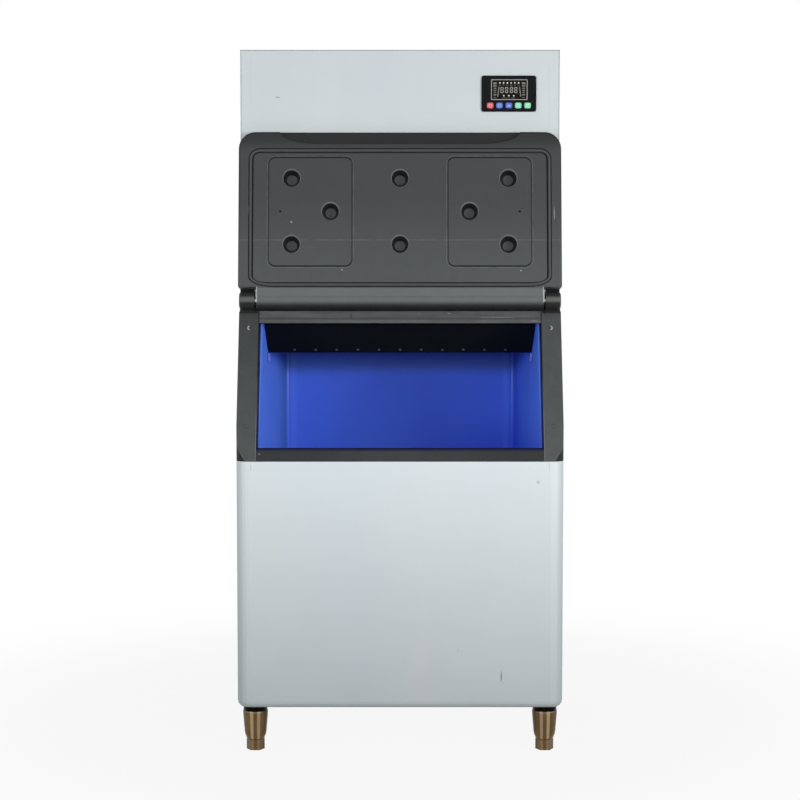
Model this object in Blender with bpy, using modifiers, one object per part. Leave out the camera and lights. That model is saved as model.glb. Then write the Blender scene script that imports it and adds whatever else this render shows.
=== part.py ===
"""Flake ice machine: an ice bin on four legs, with its door open, and the machine head on top.

Run with blender --background --python part.py, or from Blender's text editor.
Metres, +Z up. The origin is under the middle of the machine, on the floor, and the front faces -Y.
"""

import math

import bmesh
import bpy
from mathutils import Matrix, Vector

# Body of the bin
BODY_WIDTH = 0.760
BODY_DEPTH = 0.822
BACK_FITTING_REACH = 0.008
BODY_BOTTOM = 0.109
BODY_CORNER_RADIUS = 0.030
BODY_FOOT_RADIUS = 0.016
SHEET = 0.0012
SEAM = 0.0003
PAN_CLEARANCE = 0.0008
BIN_TOP = 1.032

# Frame round the opening
FRAME_BOTTOM = 0.687
FRAME_TOP = 1.031
FRAME_SLOPE = math.radians(20.5)
FRAME_DEPTH = 0.045
POST_WIDTH = 0.047
OPENING_HALF_WIDTH = BODY_WIDTH / 2 - POST_WIDTH
SILL_HEIGHT = 0.0265
HEADER_HEIGHT = 0.028
HEADER_LIP = 0.004
SCREW_HEAD_RADIUS = 0.006
SCREW_HEAD_HEIGHT = 0.0003
SCREW_FROM_SIDE = 0.023
SCREW_FROM_MIDDLE = BODY_WIDTH / 2 - SCREW_FROM_SIDE
UPPER_SCREW_HEIGHT = 0.992
LOWER_SCREW_HEIGHT = 0.767

# Ice liner and foam
LINER_WALL = 0.003
LINER_MOUTH_INSET = 0.049
LINER_MOUTH_HALF_WIDTH = BODY_WIDTH / 2 - LINER_MOUTH_INSET
LINER_BACK_INSET = 0.074
LINER_BACK_HALF_WIDTH = BODY_WIDTH / 2 - LINER_BACK_INSET
BACK_FOAM = 0.070
LINER_BACK = BODY_DEPTH - BACK_FOAM
LINER_CORNER_RADIUS = 0.030
LINER_FLOOR = 0.175
LINER_CEILING = 1.001
LINER_FRONT = 0.052
LINER_FLANGE_FROM_SIDE = 0.010
LINER_FLANGE_FROM_TOP = 0.020
LINER_FLANGE_ABOVE_FOOT = 0.006

# Baffle inside the opening
BAFFLE_TOP_DEPTH = 0.190
BAFFLE_TOP_HEIGHT = 1.000
BAFFLE_EDGE_DEPTH = 0.280
BAFFLE_EDGE_HEIGHT = 0.928
BAFFLE_TOP_INSET = 0.0565
BAFFLE_TOP_HALF_WIDTH = BODY_WIDTH / 2 - BAFFLE_TOP_INSET
BAFFLE_EDGE_INSET = 0.0595
BAFFLE_EDGE_HALF_WIDTH = BODY_WIDTH / 2 - BAFFLE_EDGE_INSET
BAFFLE_SHEET = 0.002
STUD_COUNT = 11
STUD_SPACING = 0.0515
STUD_RADIUS = 0.003
STUD_HEIGHT = 0.0018
STUD_FROM_EDGE = 0.011
BRACKET_SIZE = 0.016
BRACKET_HEIGHT = 0.022
BRACKET_SHEET = 0.0015

# Door and its hinge
HINGE_TO_FRAME = 0.020
HINGE_HEIGHT = 1.056
KNUCKLE_RADIUS = 0.0225
KNUCKLE_LENGTH = 0.036
KNUCKLE_END_SHARES = (0.75, 0.95)
KNUCKLE_END_LENGTHS = (0.003, 0.008)
LUG_TOP_SHARE = 0.6
LUG_NEAR_SHARE = 0.8
LUG_FAR_SHARE = 1.2
LUG_FOOT_SHARE = 2.0
KNUCKLE_FROM_SIDE = 0.002
KNUCKLE_OUTER_X = BODY_WIDTH / 2 - KNUCKLE_FROM_SIDE
KNUCKLE_INNER_X = KNUCKLE_OUTER_X - KNUCKLE_LENGTH
PIN_RADIUS = 0.0055
PIN_BORE_CLEARANCE = 0.0005
PIN_REACH = 0.030
DOOR_OVERHANG = 0.001
DOOR_HALF_WIDTH = BODY_WIDTH / 2 + DOOR_OVERHANG
DOOR_LENGTH = 0.400
DOOR_INNER = 0.018
DOOR_OUTER = 0.020
DOOR_CORNER_RADIUS = 0.040
NOTCH_CLEARANCE = 0.004
DOOR_NOTCH_HALF_WIDTH = KNUCKLE_INNER_X - NOTCH_CLEARANCE
DOOR_NOTCH_START = 0.028
DOOR_BEAM_RADIUS = 0.020
DOOR_EDGE_ROUND = 0.006
DOOR_FOOT_RADIUS = 0.0065
DOOR_BUMPER_HEIGHT = 0.008
DOOR_BUMPER_RADIUS = 0.011
BUMPER_FROM_SIDE = 0.081
DOOR_BUMPER_X = DOOR_HALF_WIDTH - BUMPER_FROM_SIDE
DOOR_BUMPER_FROM_END = 0.030
GRIP_FROM_SIDE = 0.097
GRIP_HALF_WIDTH = DOOR_HALF_WIDTH - GRIP_FROM_SIDE
GRIP_DROP = 0.030
GRIP_CUT_DEPTH = 0.012
GRIP_END_SHARE = 0.32
GROOVE_FROM_SIDE = 0.0238
GROOVE_OUTER_X = DOOR_HALF_WIDTH - GROOVE_FROM_SIDE
GROOVE_WIDTH = 0.012
GROOVE_DEPTH = 0.006
GROOVE_START = 0.0295
GROOVE_END = 0.360
GROOVE_CORNER_RADIUS = 0.026
GROOVE_LOW_STRETCH = 2.3
GASKET_CLEARANCE = 0.0006
GASKET_PROUD = 0.0015
PAD_INNER_X = 0.1115
PAD_FROM_SIDE = 0.070
PAD_OUTER_X = DOOR_HALF_WIDTH - PAD_FROM_SIDE
PAD_START = 0.078
PAD_END = 0.3395
PAD_CORNER_RADIUS = 0.017
PAD_LINE = 0.003
PAD_DEPTH = 0.0015
DIMPLE_MOUTH_RADIUS = 0.0205
DIMPLE_FLOOR_RADIUS = 0.012
DIMPLE_DEPTH = 0.026
DIMPLE_UPPER = 0.288
DIMPLE_MIDDLE = 0.209
DIMPLE_LOWER = 0.131
DIMPLE_FROM_SIDE = 0.1255
DIMPLE_OUTER_X = DOOR_HALF_WIDTH - DIMPLE_FROM_SIDE
DIMPLE_PAD_X = 0.1638
VENT_RADIUS = 0.0015
VENT_FROM_SIDE = 0.099
VENT_X = DOOR_HALF_WIDTH - VENT_FROM_SIDE
VENT_DEPTH = 0.008

# Legs and feet
LEG_FROM_SIDE = 0.039
LEG_X = BODY_WIDTH / 2 - LEG_FROM_SIDE
LEG_INSET = 0.060
LEG_TOP_RADIUS = 0.0295
LEG_RING_EDGE = 0.001
LEG_RING_TAPER = 0.0005
LEG_NECK_RADIUS = 0.0206
LEG_RING_HEIGHT = 0.012
LEG_SHOULDER = ((0.0257, 0.0160), (0.0249, 0.0118), (0.0236, 0.0078), (0.0222, 0.0044), (0.0211, 0.0018))
LEG_BOTTOM = 0.0255
LEG_GAP = 0.016
LEG_RING_NECK_RADIUS = 0.0284
LEG_SPIGOT_RADIUS = 0.012
LEG_SPIGOT_REACH = 0.020
FOOT_RADIUS = 0.0212
FOOT_HEIGHT = 0.025
FOOT_STEM_RADIUS = 0.008
FOOT_STEM_REACH = 0.045
STEM_END_ROOM = 0.004
STEM_CLEARANCE = 0.0006

# Machine head
HEAD_SETBACK = 0.200
HEAD_ABOVE_DOOR = 0.194
HEAD_TOP = HINGE_HEIGHT + DOOR_LENGTH + HEAD_ABOVE_DOOR
CHUTE_DEPTH = 0.500
CHUTE_HOLE_RADIUS = 0.056
CHUTE_WALL = 0.002
CHUTE_CLEARANCE = 0.001
CHUTE_FLANGE = 0.014
CHUTE_DROP = 0.012
DRAIN_HOLE_RADIUS = 0.016
DRAIN_FLANGE_RADIUS = 0.028
DRAIN_FLANGE = 0.003
DRAIN_FROM_BACK = 0.222
DRAIN_DEPTH = BODY_DEPTH - DRAIN_FROM_BACK
DRAIN_PIPE_RADIUS = 0.011
DRAIN_PIPE_WALL = 0.002
DRAIN_DROP = 0.020

# Control panel on the head
FASCIA_FROM_SIDE = 0.121
FASCIA_X = BODY_WIDTH / 2 - FASCIA_FROM_SIDE
FASCIA_FROM_TOP = 0.1035
FASCIA_Z = HEAD_TOP - FASCIA_FROM_TOP
FASCIA_WIDTH = 0.130
FASCIA_HEIGHT = 0.085
FASCIA_THICKNESS = 0.0030
FASCIA_CORNER_RADIUS = 0.0055
DISPLAY_OFFSET = (0.001, 0.0095)
DISPLAY_X = FASCIA_X + DISPLAY_OFFSET[0]
DISPLAY_Z = FASCIA_Z + DISPLAY_OFFSET[1]
DISPLAY_WIDTH = 0.088
DISPLAY_HEIGHT = 0.050
DISPLAY_RECESS = 0.0012
BUTTON_FIRST = (-0.0444, -0.0280)
BUTTON_Z = FASCIA_Z + BUTTON_FIRST[1]
BUTTON_FIRST_X = FASCIA_X + BUTTON_FIRST[0]
BUTTON_SPACING = 0.0223
BUTTON_COUNT = 5
BUTTON_WIDTH = 0.0155
BUTTON_HEIGHT = 0.0135
BUTTON_CORNER_RADIUS = 0.0035
BUTTON_PROUD = 0.0014
BUTTON_TRAVEL = 0.0010
BUTTON_CLEARANCE = 0.0004
BUTTON_FLANGE = 0.0025
BUTTON_LIP = 0.0012
BOARD_PILLAR_RADIUS = 0.0025
BOARD_WIDTH = 0.120
BOARD_HEIGHT = 0.076
BOARD_THICKNESS = 0.0016
BOARD_SETBACK = 0.010

# Panels of the head
HEAD_BASE_SHEET = 0.002
PANEL_CUTOUT_MARGIN = 0.005
LOUVRE_COUNT = 9
LOUVRE_LENGTH = 0.180
LOUVRE_HEIGHT = 0.007
LOUVRE_SPACING = 0.022
LOUVRE_FROM_BACK = 0.202
LOUVRE_DEPTH = BODY_DEPTH - LOUVRE_FROM_BACK
LOUVRE_MIDDLE = 1.300

# Cooling parts
FAN_X = 0.150
FAN_Z = 1.230
FAN_HOLE_RADIUS = 0.110
FAN_BLADE_RADIUS = 0.102
FAN_HUB_RADIUS = 0.030
FAN_BLADE_COUNT = 5
FAN_BLADE_WIDTH = 0.052
FAN_BLADE_SHEET = 0.002
FAN_BLADE_PITCH = math.radians(28)
FAN_HUB_LENGTH = 0.030
FAN_GAP = 0.004
FAN_TIP = 0.006
FAN_ROOT = 0.004
FAN_BORE_CLEARANCE = 0.0003
MOTOR_RADIUS = 0.036
MOTOR_LENGTH = 0.055
MOTOR_ARM = 0.010
SHAFT_SINK = 0.010
SHAFT_RADIUS = 0.004
CONDENSER_WIDTH = 0.260
CONDENSER_HEIGHT = 0.300
CONDENSER_THICKNESS = 0.045
CONDENSER_FINS = 16
CONDENSER_FRAME = 0.010
CONDENSER_GAP_SHARE = 0.7
SHROUD_SHEET = 0.0015
COMPRESSOR_X = 0.200
COMPRESSOR_DEPTH = 0.470
COMPRESSOR_RADIUS = 0.080
COMPRESSOR_HEIGHT = 0.205
COMPRESSOR_FOOT = 0.014
COMPRESSOR_FOOT_RADIUS = 0.011
COMPRESSOR_FOOT_SINK = 0.002
COMPRESSOR_DOME_SHARE = 0.45
COMPRESSOR_DOME_TURNS = (0.0, 0.5, 0.95, math.pi / 2)
COMPRESSOR_SEAM_HEIGHT = 0.060
COMPRESSOR_WAIST_HEIGHT = 0.020
COMPRESSOR_WAIST_SHARE = 0.94
COMPRESSOR_PLATE = 0.004
COMPRESSOR_PLATE_SHARE = 1.15
COMPRESSOR_PORT_HEIGHT = 0.100
TUBE_RADIUS = 0.0045
DRIER_RADIUS = 0.012
DRIER_LENGTH = 0.090
DRIER_CONE = 0.015
TUBE_BEND_RADIUS = 0.020
TUBE_FROM_TOP = 0.120
TUBE_BEHIND_DRUM = 0.030
DRIER_X = 0.090
DRIER_DEPTH = 0.410

# Ice making parts
DRUM_X = -0.190
DRUM_DEPTH = 0.500
DRUM_RADIUS = 0.074
DRUM_BORE = 0.061
DRUM_HEIGHT = 0.260
SPOUT_HALF_WIDTH = 0.034
SPOUT_HEIGHT = 0.052
SPOUT_WALL = 0.003
SPOUT_FROM_TOP = 0.010
SPOUT_REACH_SHARE = 0.7
SPOUT_ROOT_SHARE = 0.5
CHUTE_ABOVE_SPOUT = 0.008
AUGER_SHAFT_RADIUS = 0.020
AUGER_STUB_RADIUS = 0.010
AUGER_RADIUS = 0.0585
AUGER_PITCH = 0.055
AUGER_TURNS = 3.5
AUGER_FLIGHT = 0.004
AUGER_FLOOR_GAP = 0.002
AUGER_TOP_GAP = 0.005
AUGER_STUB_REACH = 0.020
AUGER_FLIGHT_SINK = 0.003
AUGER_FLIGHT_START = 0.006
AUGER_STEPS_A_TURN = 18
GEAR_RADIUS = 0.070
GEAR_HEIGHT = 0.150
GEAR_FLANGE = 0.012
GEAR_FLANGE_REACH = 0.010
GEAR_SOCKET_DEPTH = 0.030

# Water tank and float
TANK_FROM_SIDE = 0.080
TANK_X = TANK_FROM_SIDE - BODY_WIDTH / 2
TANK_DEPTH = 0.310
TANK_WIDTH = 0.110
TANK_LENGTH = 0.150
TANK_HEIGHT = 0.130
TANK_WALL = 0.003
FLOAT_PIN_RADIUS = 0.002
FLOAT_PIN_CLEARANCE = 0.0005
FLOAT_HUB_RADIUS = 0.006
FLOAT_ROD_RADIUS = 0.002
FLOAT_RADIUS = 0.018
FLOAT_REACH = 0.080
FLOAT_PIN_INSET = 0.020
FLOAT_HUB_HALF_LENGTH = 0.010
FLOAT_ROD_SINK = 0.001
FLOAT_DROP = math.radians(40)

# Fittings on the back
INLET_FROM_SIDE = 0.080
INLET_X = INLET_FROM_SIDE - BODY_WIDTH / 2
SWITCH_X = -0.200
GLAND_X = -0.120
FITTING_Z = 1.100
INLET_RADIUS = 0.013
INLET_BORE = 0.008
INLET_LENGTH = 0.030
NUT_LENGTH = 0.008
NUT_SHARE = 1.4
SWITCH_WIDTH = 0.020
SWITCH_HEIGHT = 0.028
SWITCH_RIM = 0.003
SWITCH_BODY_DEPTH = 0.020
SWITCH_HOLLOW_DEPTH = 0.012
ROCKER_CLEARANCE = 0.0005
ROCKER_PROUD = 0.002
ROCKER_CENTRE_SHARE = 0.55
ROCKER_BACK = 0.004
ROCKER_BACK_SHARE = 0.5
ROCKER_DISH = 0.001
ROCKER_TILT = math.radians(8)
GLAND_RADIUS = 0.012
GLAND_INSIDE = 0.015
GLAND_OUTSIDE = 0.006
GLAND_NUT_LENGTH = 0.006
GLAND_NUT_SHARE = 1.35
GLAND_BORE = 0.005

# Places worked out from the sizes above
FRONT = -(BODY_DEPTH + BACK_FITTING_REACH) / 2
BACK = FRONT + BODY_DEPTH
HALF_WIDTH = BODY_WIDTH / 2
SLOPE_UP = Vector((0.0, math.sin(FRAME_SLOPE), math.cos(FRAME_SLOPE)))
SLOPE_OUT = Vector((0.0, -math.cos(FRAME_SLOPE), math.sin(FRAME_SLOPE)))
FRAME_FOOT = Vector((0.0, FRONT, FRAME_BOTTOM))
HEAD_FRONT = FRONT + HEAD_SETBACK
HEAD_BOTTOM = BIN_TOP + SEAM
HINGE_RUN = (HINGE_HEIGHT - FRAME_BOTTOM - HINGE_TO_FRAME * SLOPE_OUT.z) / SLOPE_UP.z
HINGE = FRAME_FOOT + SLOPE_UP * HINGE_RUN + SLOPE_OUT * HINGE_TO_FRAME
CHUTE_Y = FRONT + CHUTE_DEPTH
DRAIN_Y = FRONT + DRAIN_DEPTH
HEAD_SIDE = HALF_WIDTH - SHEET - SEAM
HEAD_FLOOR = HEAD_BOTTOM + HEAD_BASE_SHEET + SEAM
PANEL_TOP = HEAD_TOP - SHEET - SEAM
FASCIA_BACK = HEAD_FRONT - SEAM
FASCIA_FRONT = FASCIA_BACK - FASCIA_THICKNESS
CHUTE_RADIUS = CHUTE_HOLE_RADIUS - CHUTE_CLEARANCE
DRUM_BOTTOM = HEAD_FLOOR + GEAR_HEIGHT + SEAM
CONDENSER_BACK = BACK - SHEET - SEAM
CONDENSER_FRONT = CONDENSER_BACK - CONDENSER_THICKNESS
SHROUD_FRONT = CONDENSER_FRONT - SEAM - SHROUD_SHEET

PART = bpy.data.collections.new("flake_ice_machine")
CUTTERS = bpy.data.collections.new("cutters")
FACETS = 24
CURVE_STEPS = 6
WELD = 0.00001
CUT_REACH = 0.02
LONG_REACH = 0.1
FACE_REACH = 0.002
SMOOTH_ANGLE = 30.0


def clear_scene():
    for obj in list(bpy.data.objects):
        bpy.data.objects.remove(obj)
    bpy.context.scene.collection.children.link(PART)
    bpy.context.scene.collection.children.link(CUTTERS)


def finish(name, colour, roughness, metallic=0.0):
    """A plain Principled material."""
    material = bpy.data.materials.new(name)
    material.use_nodes = True
    shader = material.node_tree.nodes["Principled BSDF"]
    shader.inputs["Base Color"].default_value = (*colour, 1.0)
    shader.inputs["Roughness"].default_value = roughness
    shader.inputs["Metallic"].default_value = metallic
    return material


STEEL = finish("pale_steel", (0.62, 0.68, 0.72), 0.42, 0.3)
BARE_STEEL = finish("bare_steel", (0.55, 0.55, 0.55), 0.35, 1.0)
BLACK_PLASTIC = finish("black_plastic", (0.07, 0.075, 0.08), 0.5)
BLUE_PLASTIC = finish("blue_plastic", (0.03, 0.06, 0.45), 0.35)
FOAM = finish("foam", (0.75, 0.68, 0.45), 0.9)
RUBBER = finish("rubber", (0.03, 0.03, 0.03), 0.7)
BRONZE = finish("leg_metal", (0.20, 0.13, 0.08), 0.3, 1.0)
COPPER = finish("copper", (0.60, 0.28, 0.15), 0.3, 1.0)
WHITE_PLASTIC = finish("white_plastic", (0.8, 0.8, 0.78), 0.5)
GLASS = finish("display_glass", (0.01, 0.01, 0.012), 0.1)
COMPRESSOR_PAINT = finish("compressor_paint", (0.02, 0.02, 0.022), 0.35)
BOARD_GREEN = finish("board_green", (0.02, 0.15, 0.05), 0.5)
RED = finish("red_button", (0.7, 0.05, 0.05), 0.4)
BLUE = finish("blue_button", (0.03, 0.12, 0.6), 0.4)
GREEN = finish("green_button", (0.1, 0.6, 0.35), 0.4)


def depth(distance):
    """World Y of a place this far behind the front of the bin."""
    return FRONT + distance


def place(name, mesh, material, cutter=False):
    obj = bpy.data.objects.new(name, mesh)
    if material:
        mesh.materials.append(material)
    (CUTTERS if cutter else PART).objects.link(obj)
    if cutter:
        hide(obj)
    return obj


def hide(obj):
    """Keeps a cutter out of the part."""
    obj.hide_render = True
    obj.display_type = "WIRE"


def to_mesh(name, bm):
    mesh = bpy.data.meshes.new(name)
    bm.to_mesh(mesh)
    bm.free()
    return mesh


def smooth(obj, angle=SMOOTH_ANGLE):
    obj.data.shade_smooth()
    obj.data.set_sharp_from_angle(angle=math.radians(angle))
    return obj


def box(name, low, high, material=None, cutter=False):
    low = Vector(low)
    high = Vector(high)
    bm = bmesh.new()
    middle = Matrix.Translation((low + high) / 2)
    bmesh.ops.create_cube(bm, size=1.0, matrix=middle @ Matrix.Diagonal((*(high - low), 1.0)))
    return place(name, to_mesh(name, bm), material, cutter)


def slots(name, plane, outlines, low, high):
    """One cutter holding a row of separate rectangular bars, all from low to high along the third axis."""
    bm = bmesh.new()
    for outline in outlines:
        corner = Vector((*outline[0], low))
        opposite = Vector((*outline[2], high))
        middle = Matrix.Translation((corner + opposite) / 2)
        size = Matrix.Diagonal((*(opposite - corner), 1.0))
        bmesh.ops.create_cube(bm, size=1.0, matrix=PLANES[plane] @ middle @ size)
    bmesh.ops.recalc_face_normals(bm, faces=bm.faces)
    return place(name, to_mesh(name, bm), None, cutter=True)


def cylinder(name, start, end, radius, material=None, cutter=False, end_radius=None, facets=FACETS):
    start = Vector(start)
    end = Vector(end)
    run = end - start
    turn = Vector((0, 0, 1)).rotation_difference(run).to_matrix().to_4x4()
    bm = bmesh.new()
    bmesh.ops.create_cone(
        bm,
        cap_ends=True,
        segments=facets,
        radius1=radius,
        radius2=radius if end_radius is None else end_radius,
        depth=run.length,
        matrix=Matrix.Translation((start + end) / 2) @ turn,
    )
    return smooth(place(name, to_mesh(name, bm), material, cutter))


def arc(centre, radii, start, end, steps=CURVE_STEPS):
    """Points of an elliptical arc, with both ends, angles in degrees."""
    points = []
    for step in range(steps + 1):
        angle = math.radians(start + (end - start) * step / steps)
        points.append((centre[0] + radii[0] * math.cos(angle), centre[1] + radii[1] * math.sin(angle)))
    return points


def rounded(low, high, radius, lower_radii=None, steps=CURVE_STEPS):
    """A rectangle's outline with rounded corners; the lower two may be elliptical."""
    lower = lower_radii or (radius, radius)
    upper = (radius, radius)
    return (
        arc((low[0] + lower[0], low[1] + lower[1]), lower, 180, 270, steps)
        + arc((high[0] - lower[0], low[1] + lower[1]), lower, 270, 360, steps)
        + arc((high[0] - upper[0], high[1] - upper[1]), upper, 0, 90, steps)
        + arc((low[0] + upper[0], high[1] - upper[1]), upper, 90, 180, steps)
    )


def rectangle(low, high):
    return [(low[0], low[1]), (high[0], low[1]), (high[0], high[1]), (low[0], high[1])]


def circle(centre, radius, facets=FACETS):
    return arc(centre, (radius, radius), 0, 360 - 360 / facets, facets - 1)


PLANES = {
    "XY": Matrix.Identity(4),
    "XZ": Matrix(((1, 0, 0, 0), (0, 0, 1, 0), (0, 1, 0, 0), (0, 0, 0, 1))),
    "YZ": Matrix(((0, 0, 1, 0), (1, 0, 0, 0), (0, 1, 0, 0), (0, 0, 0, 1))),
}


def plate(name, plane, outlines, low, high, material=None, cutter=False):
    """A flat outline in one plane, with holes, extruded from low to high along the third axis."""
    curve = bpy.data.curves.new(name, "CURVE")
    curve.dimensions = "2D"
    curve.fill_mode = "BOTH"
    curve.extrude = (high - low) / 2
    for outline in outlines:
        spline = curve.splines.new("POLY")
        spline.points.add(len(outline) - 1)
        spline.use_cyclic_u = True
        for point, (across, along) in zip(spline.points, outline):
            point.co = (across, along, 0.0, 1.0)
    flat = bpy.data.objects.new(name + "_outline", curve)
    PART.objects.link(flat)
    bpy.context.view_layer.update()
    graph = bpy.context.evaluated_depsgraph_get()
    mesh = bpy.data.meshes.new_from_object(flat.evaluated_get(graph))
    bpy.data.objects.remove(flat)
    mesh.name = name
    mesh.materials.clear()
    mesh.transform(PLANES[plane] @ Matrix.Translation((0, 0, (low + high) / 2)))
    bm = bmesh.new()
    bm.from_mesh(mesh)
    bmesh.ops.remove_doubles(bm, verts=bm.verts, dist=WELD)
    bmesh.ops.recalc_face_normals(bm, faces=bm.faces)
    bm.to_mesh(mesh)
    bm.free()
    return smooth(place(name, mesh, material, cutter))


def turned(name, profile, material=None, cutter=False, at=(0.0, 0.0, 0.0), facets=FACETS):
    """A profile of (radius, height) pairs, from the top down its outer side, turned about Z."""
    bm = bmesh.new()
    points = [bm.verts.new((radius, 0.0, height)) for radius, height in profile]
    for first, second in zip(points, points[1:]):
        bm.edges.new((first, second))
    if profile[0][0] > 0 and profile[-1][0] > 0:
        bm.edges.new((points[-1], points[0]))
    obj = place(name, to_mesh(name, bm), material, cutter)
    screw = obj.modifiers.new("turn", "SCREW")
    screw.steps = facets
    screw.render_steps = facets
    screw.use_merge_vertices = True
    screw.merge_threshold = WELD
    obj.location = at
    return obj


def round_rims(obj, radius, segments=3):
    """Rounds the edges round both faces of a plate that stands in XZ."""
    bm = bmesh.new()
    bm.from_mesh(obj.data)
    bmesh.ops.dissolve_limit(bm, angle_limit=0.01, verts=bm.verts, edges=bm.edges)
    rims = [
        edge
        for edge in bm.edges
        if abs(edge.verts[0].co.y - edge.verts[1].co.y) < WELD and edge.calc_face_angle() > 1.0
    ]
    bmesh.ops.bevel(bm, geom=rims, offset=radius, segments=segments, profile=0.5, affect="EDGES")
    bmesh.ops.triangulate(bm, faces=[face for face in bm.faces if len(face.verts) > 4])
    bm.to_mesh(obj.data)
    bm.free()
    return smooth(obj)


def combine(target, other, operation="DIFFERENCE"):
    """Cuts, joins or keeps the overlap with another object, which becomes a cutter."""
    if other.name in PART.objects:
        PART.objects.unlink(other)
        CUTTERS.objects.link(other)
    hide(other)
    change = target.modifiers.new(other.name, "BOOLEAN")
    change.operation = operation
    change.solver = "EXACT"
    change.object = other
    return target


def cut(target, *others):
    for other in others:
        combine(target, other)
    return target


def join(target, *others):
    for other in others:
        combine(target, other, "UNION")
    return target


def wire(name, points, radius, material):
    """A round tube along straight runs and bends, from a curve with filled ends."""
    curve = bpy.data.curves.new(name, "CURVE")
    curve.dimensions = "3D"
    curve.bevel_depth = radius
    curve.bevel_resolution = 2
    curve.use_fill_caps = True
    spline = curve.splines.new("POLY")
    spline.points.add(len(points) - 1)
    for point, place_at in zip(spline.points, points):
        point.co = (*place_at, 1.0)
    obj = bpy.data.objects.new(name, curve)
    curve.materials.append(material)
    PART.objects.link(obj)
    return obj


def block_mesh(inset):
    """The bin's outer block, this far inside its skin, with its front and lower edges rounded."""
    bm = bmesh.new()
    low = Vector((-HALF_WIDTH + inset, FRONT + inset, BODY_BOTTOM + inset))
    high = Vector((HALF_WIDTH - inset, BACK - inset, BIN_TOP - SHEET - SEAM))
    middle = Matrix.Translation((low + high) / 2)
    bmesh.ops.create_cube(bm, size=1.0, matrix=middle @ Matrix.Diagonal((*(high - low), 1.0)))
    near = 0.0001

    def edges_where(test):
        return [edge for edge in bm.edges if all(test(vert.co) for vert in edge.verts)]

    uprights = edges_where(lambda co: co.y < low.y + near)
    uprights = [edge for edge in uprights if abs(edge.verts[0].co.x - edge.verts[1].co.x) < near]
    bmesh.ops.bevel(
        bm, geom=uprights, offset=BODY_CORNER_RADIUS - inset, segments=6, profile=0.5, affect="EDGES"
    )
    lower = edges_where(lambda co: co.z < low.z + near)
    lower = [edge for edge in lower if not all(vert.co.y > high.y - near for vert in edge.verts)]
    bmesh.ops.bevel(
        bm, geom=lower, offset=BODY_FOOT_RADIUS - inset, segments=4, profile=0.5, affect="EDGES"
    )
    return bm


def block(name, inset, material=None, cutter=False):
    return place(name, to_mesh(name, block_mesh(inset)), material, cutter)


def slope_point(run, out):
    """(y, z) of a place this far up the frame's face and this far in front of it."""
    at = FRAME_FOOT + SLOPE_UP * run + SLOPE_OUT * out
    return (at.y, at.z)


def slope_at_height(height, out):
    """(y, z) where a plane parallel to the frame's face, this far in front of it, has this height."""
    run = (height - FRAME_BOTTOM - out * SLOPE_OUT.z) / SLOPE_UP.z
    return slope_point(run, out)


def front_cutter(name, gap):
    """The space in front of the frame's back plane, above the lower panel, grown by a gap."""
    back_low = slope_at_height(FRAME_BOTTOM - gap, -FRAME_DEPTH - gap)
    back_high = slope_at_height(BIN_TOP + LONG_REACH, -FRAME_DEPTH - gap)
    front = FRONT - LONG_REACH
    outline = [(front, FRAME_BOTTOM - gap), back_low, back_high, (front, BIN_TOP + LONG_REACH)]
    return plate(name, "YZ", [outline], -BODY_WIDTH, BODY_WIDTH, cutter=True)


def make_bin_wrap():
    bm = block_mesh(0.0)
    gone = [face for face in bm.faces if abs(face.normal.z) > 0.99 or face.normal.y > 0.99]
    bmesh.ops.delete(bm, geom=gone, context="FACES")
    wrap = place("bin_wrap", to_mesh("bin_wrap", bm), STEEL)
    skin = wrap.modifiers.new("skin", "SOLIDIFY")
    skin.thickness = SHEET
    skin.offset = -1.0
    skin.use_even_offset = True
    cut(wrap, front_cutter("wrap_front_cut", SEAM))
    return smooth(wrap)


def make_back_panel():
    side = HALF_WIDTH - SHEET - SEAM
    low = BODY_BOTTOM + SHEET + SEAM
    high = BIN_TOP - SHEET - 2 * SEAM
    radius = BODY_FOOT_RADIUS - SHEET - SEAM
    lower = arc((radius - side, low + radius), (radius, radius), 180, 270, 4)
    outline = lower + [(-x, z) for x, z in reversed(lower)] + [(side, high), (-side, high)]
    return plate("bin_back_panel", "XZ", [outline], BACK - SHEET, BACK, STEEL)


def leg_places():
    front = FRONT + LEG_INSET
    rear = BACK - LEG_INSET
    return {
        "front_left": (-LEG_X, front),
        "front_right": (LEG_X, front),
        "rear_left": (-LEG_X, rear),
        "rear_right": (LEG_X, rear),
    }


def make_base_pan():
    side = HALF_WIDTH - BODY_FOOT_RADIUS - PAN_CLEARANCE
    front = FRONT + BODY_FOOT_RADIUS + PAN_CLEARANCE
    back = BACK - SHEET - SEAM
    holes = [circle(at, LEG_SPIGOT_RADIUS + SEAM) for at in leg_places().values()]
    holes.append(circle((0.0, DRAIN_Y), DRAIN_HOLE_RADIUS))
    radius = BODY_CORNER_RADIUS - BODY_FOOT_RADIUS - PAN_CLEARANCE
    corner = arc((radius - side, front + radius), (radius, radius), 180, 270)
    outline = corner + [(-x, y) for x, y in reversed(corner)] + [(side, back), (-side, back)]
    return plate("bin_base_pan", "XY", [outline, *holes], BODY_BOTTOM, BODY_BOTTOM + SHEET, BARE_STEEL)


def deck_front():
    """Y of the deck's front edge, just behind the frame."""
    return slope_at_height(BIN_TOP, -FRAME_DEPTH - SEAM)[0]


def make_top_deck():
    outline = rectangle((-HALF_WIDTH, deck_front()), (HALF_WIDTH, BACK))
    hole = circle((0.0, CHUTE_Y), CHUTE_HOLE_RADIUS)
    return plate("bin_top_deck", "XY", [outline, hole], BIN_TOP - SHEET, BIN_TOP, BARE_STEEL)


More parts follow.
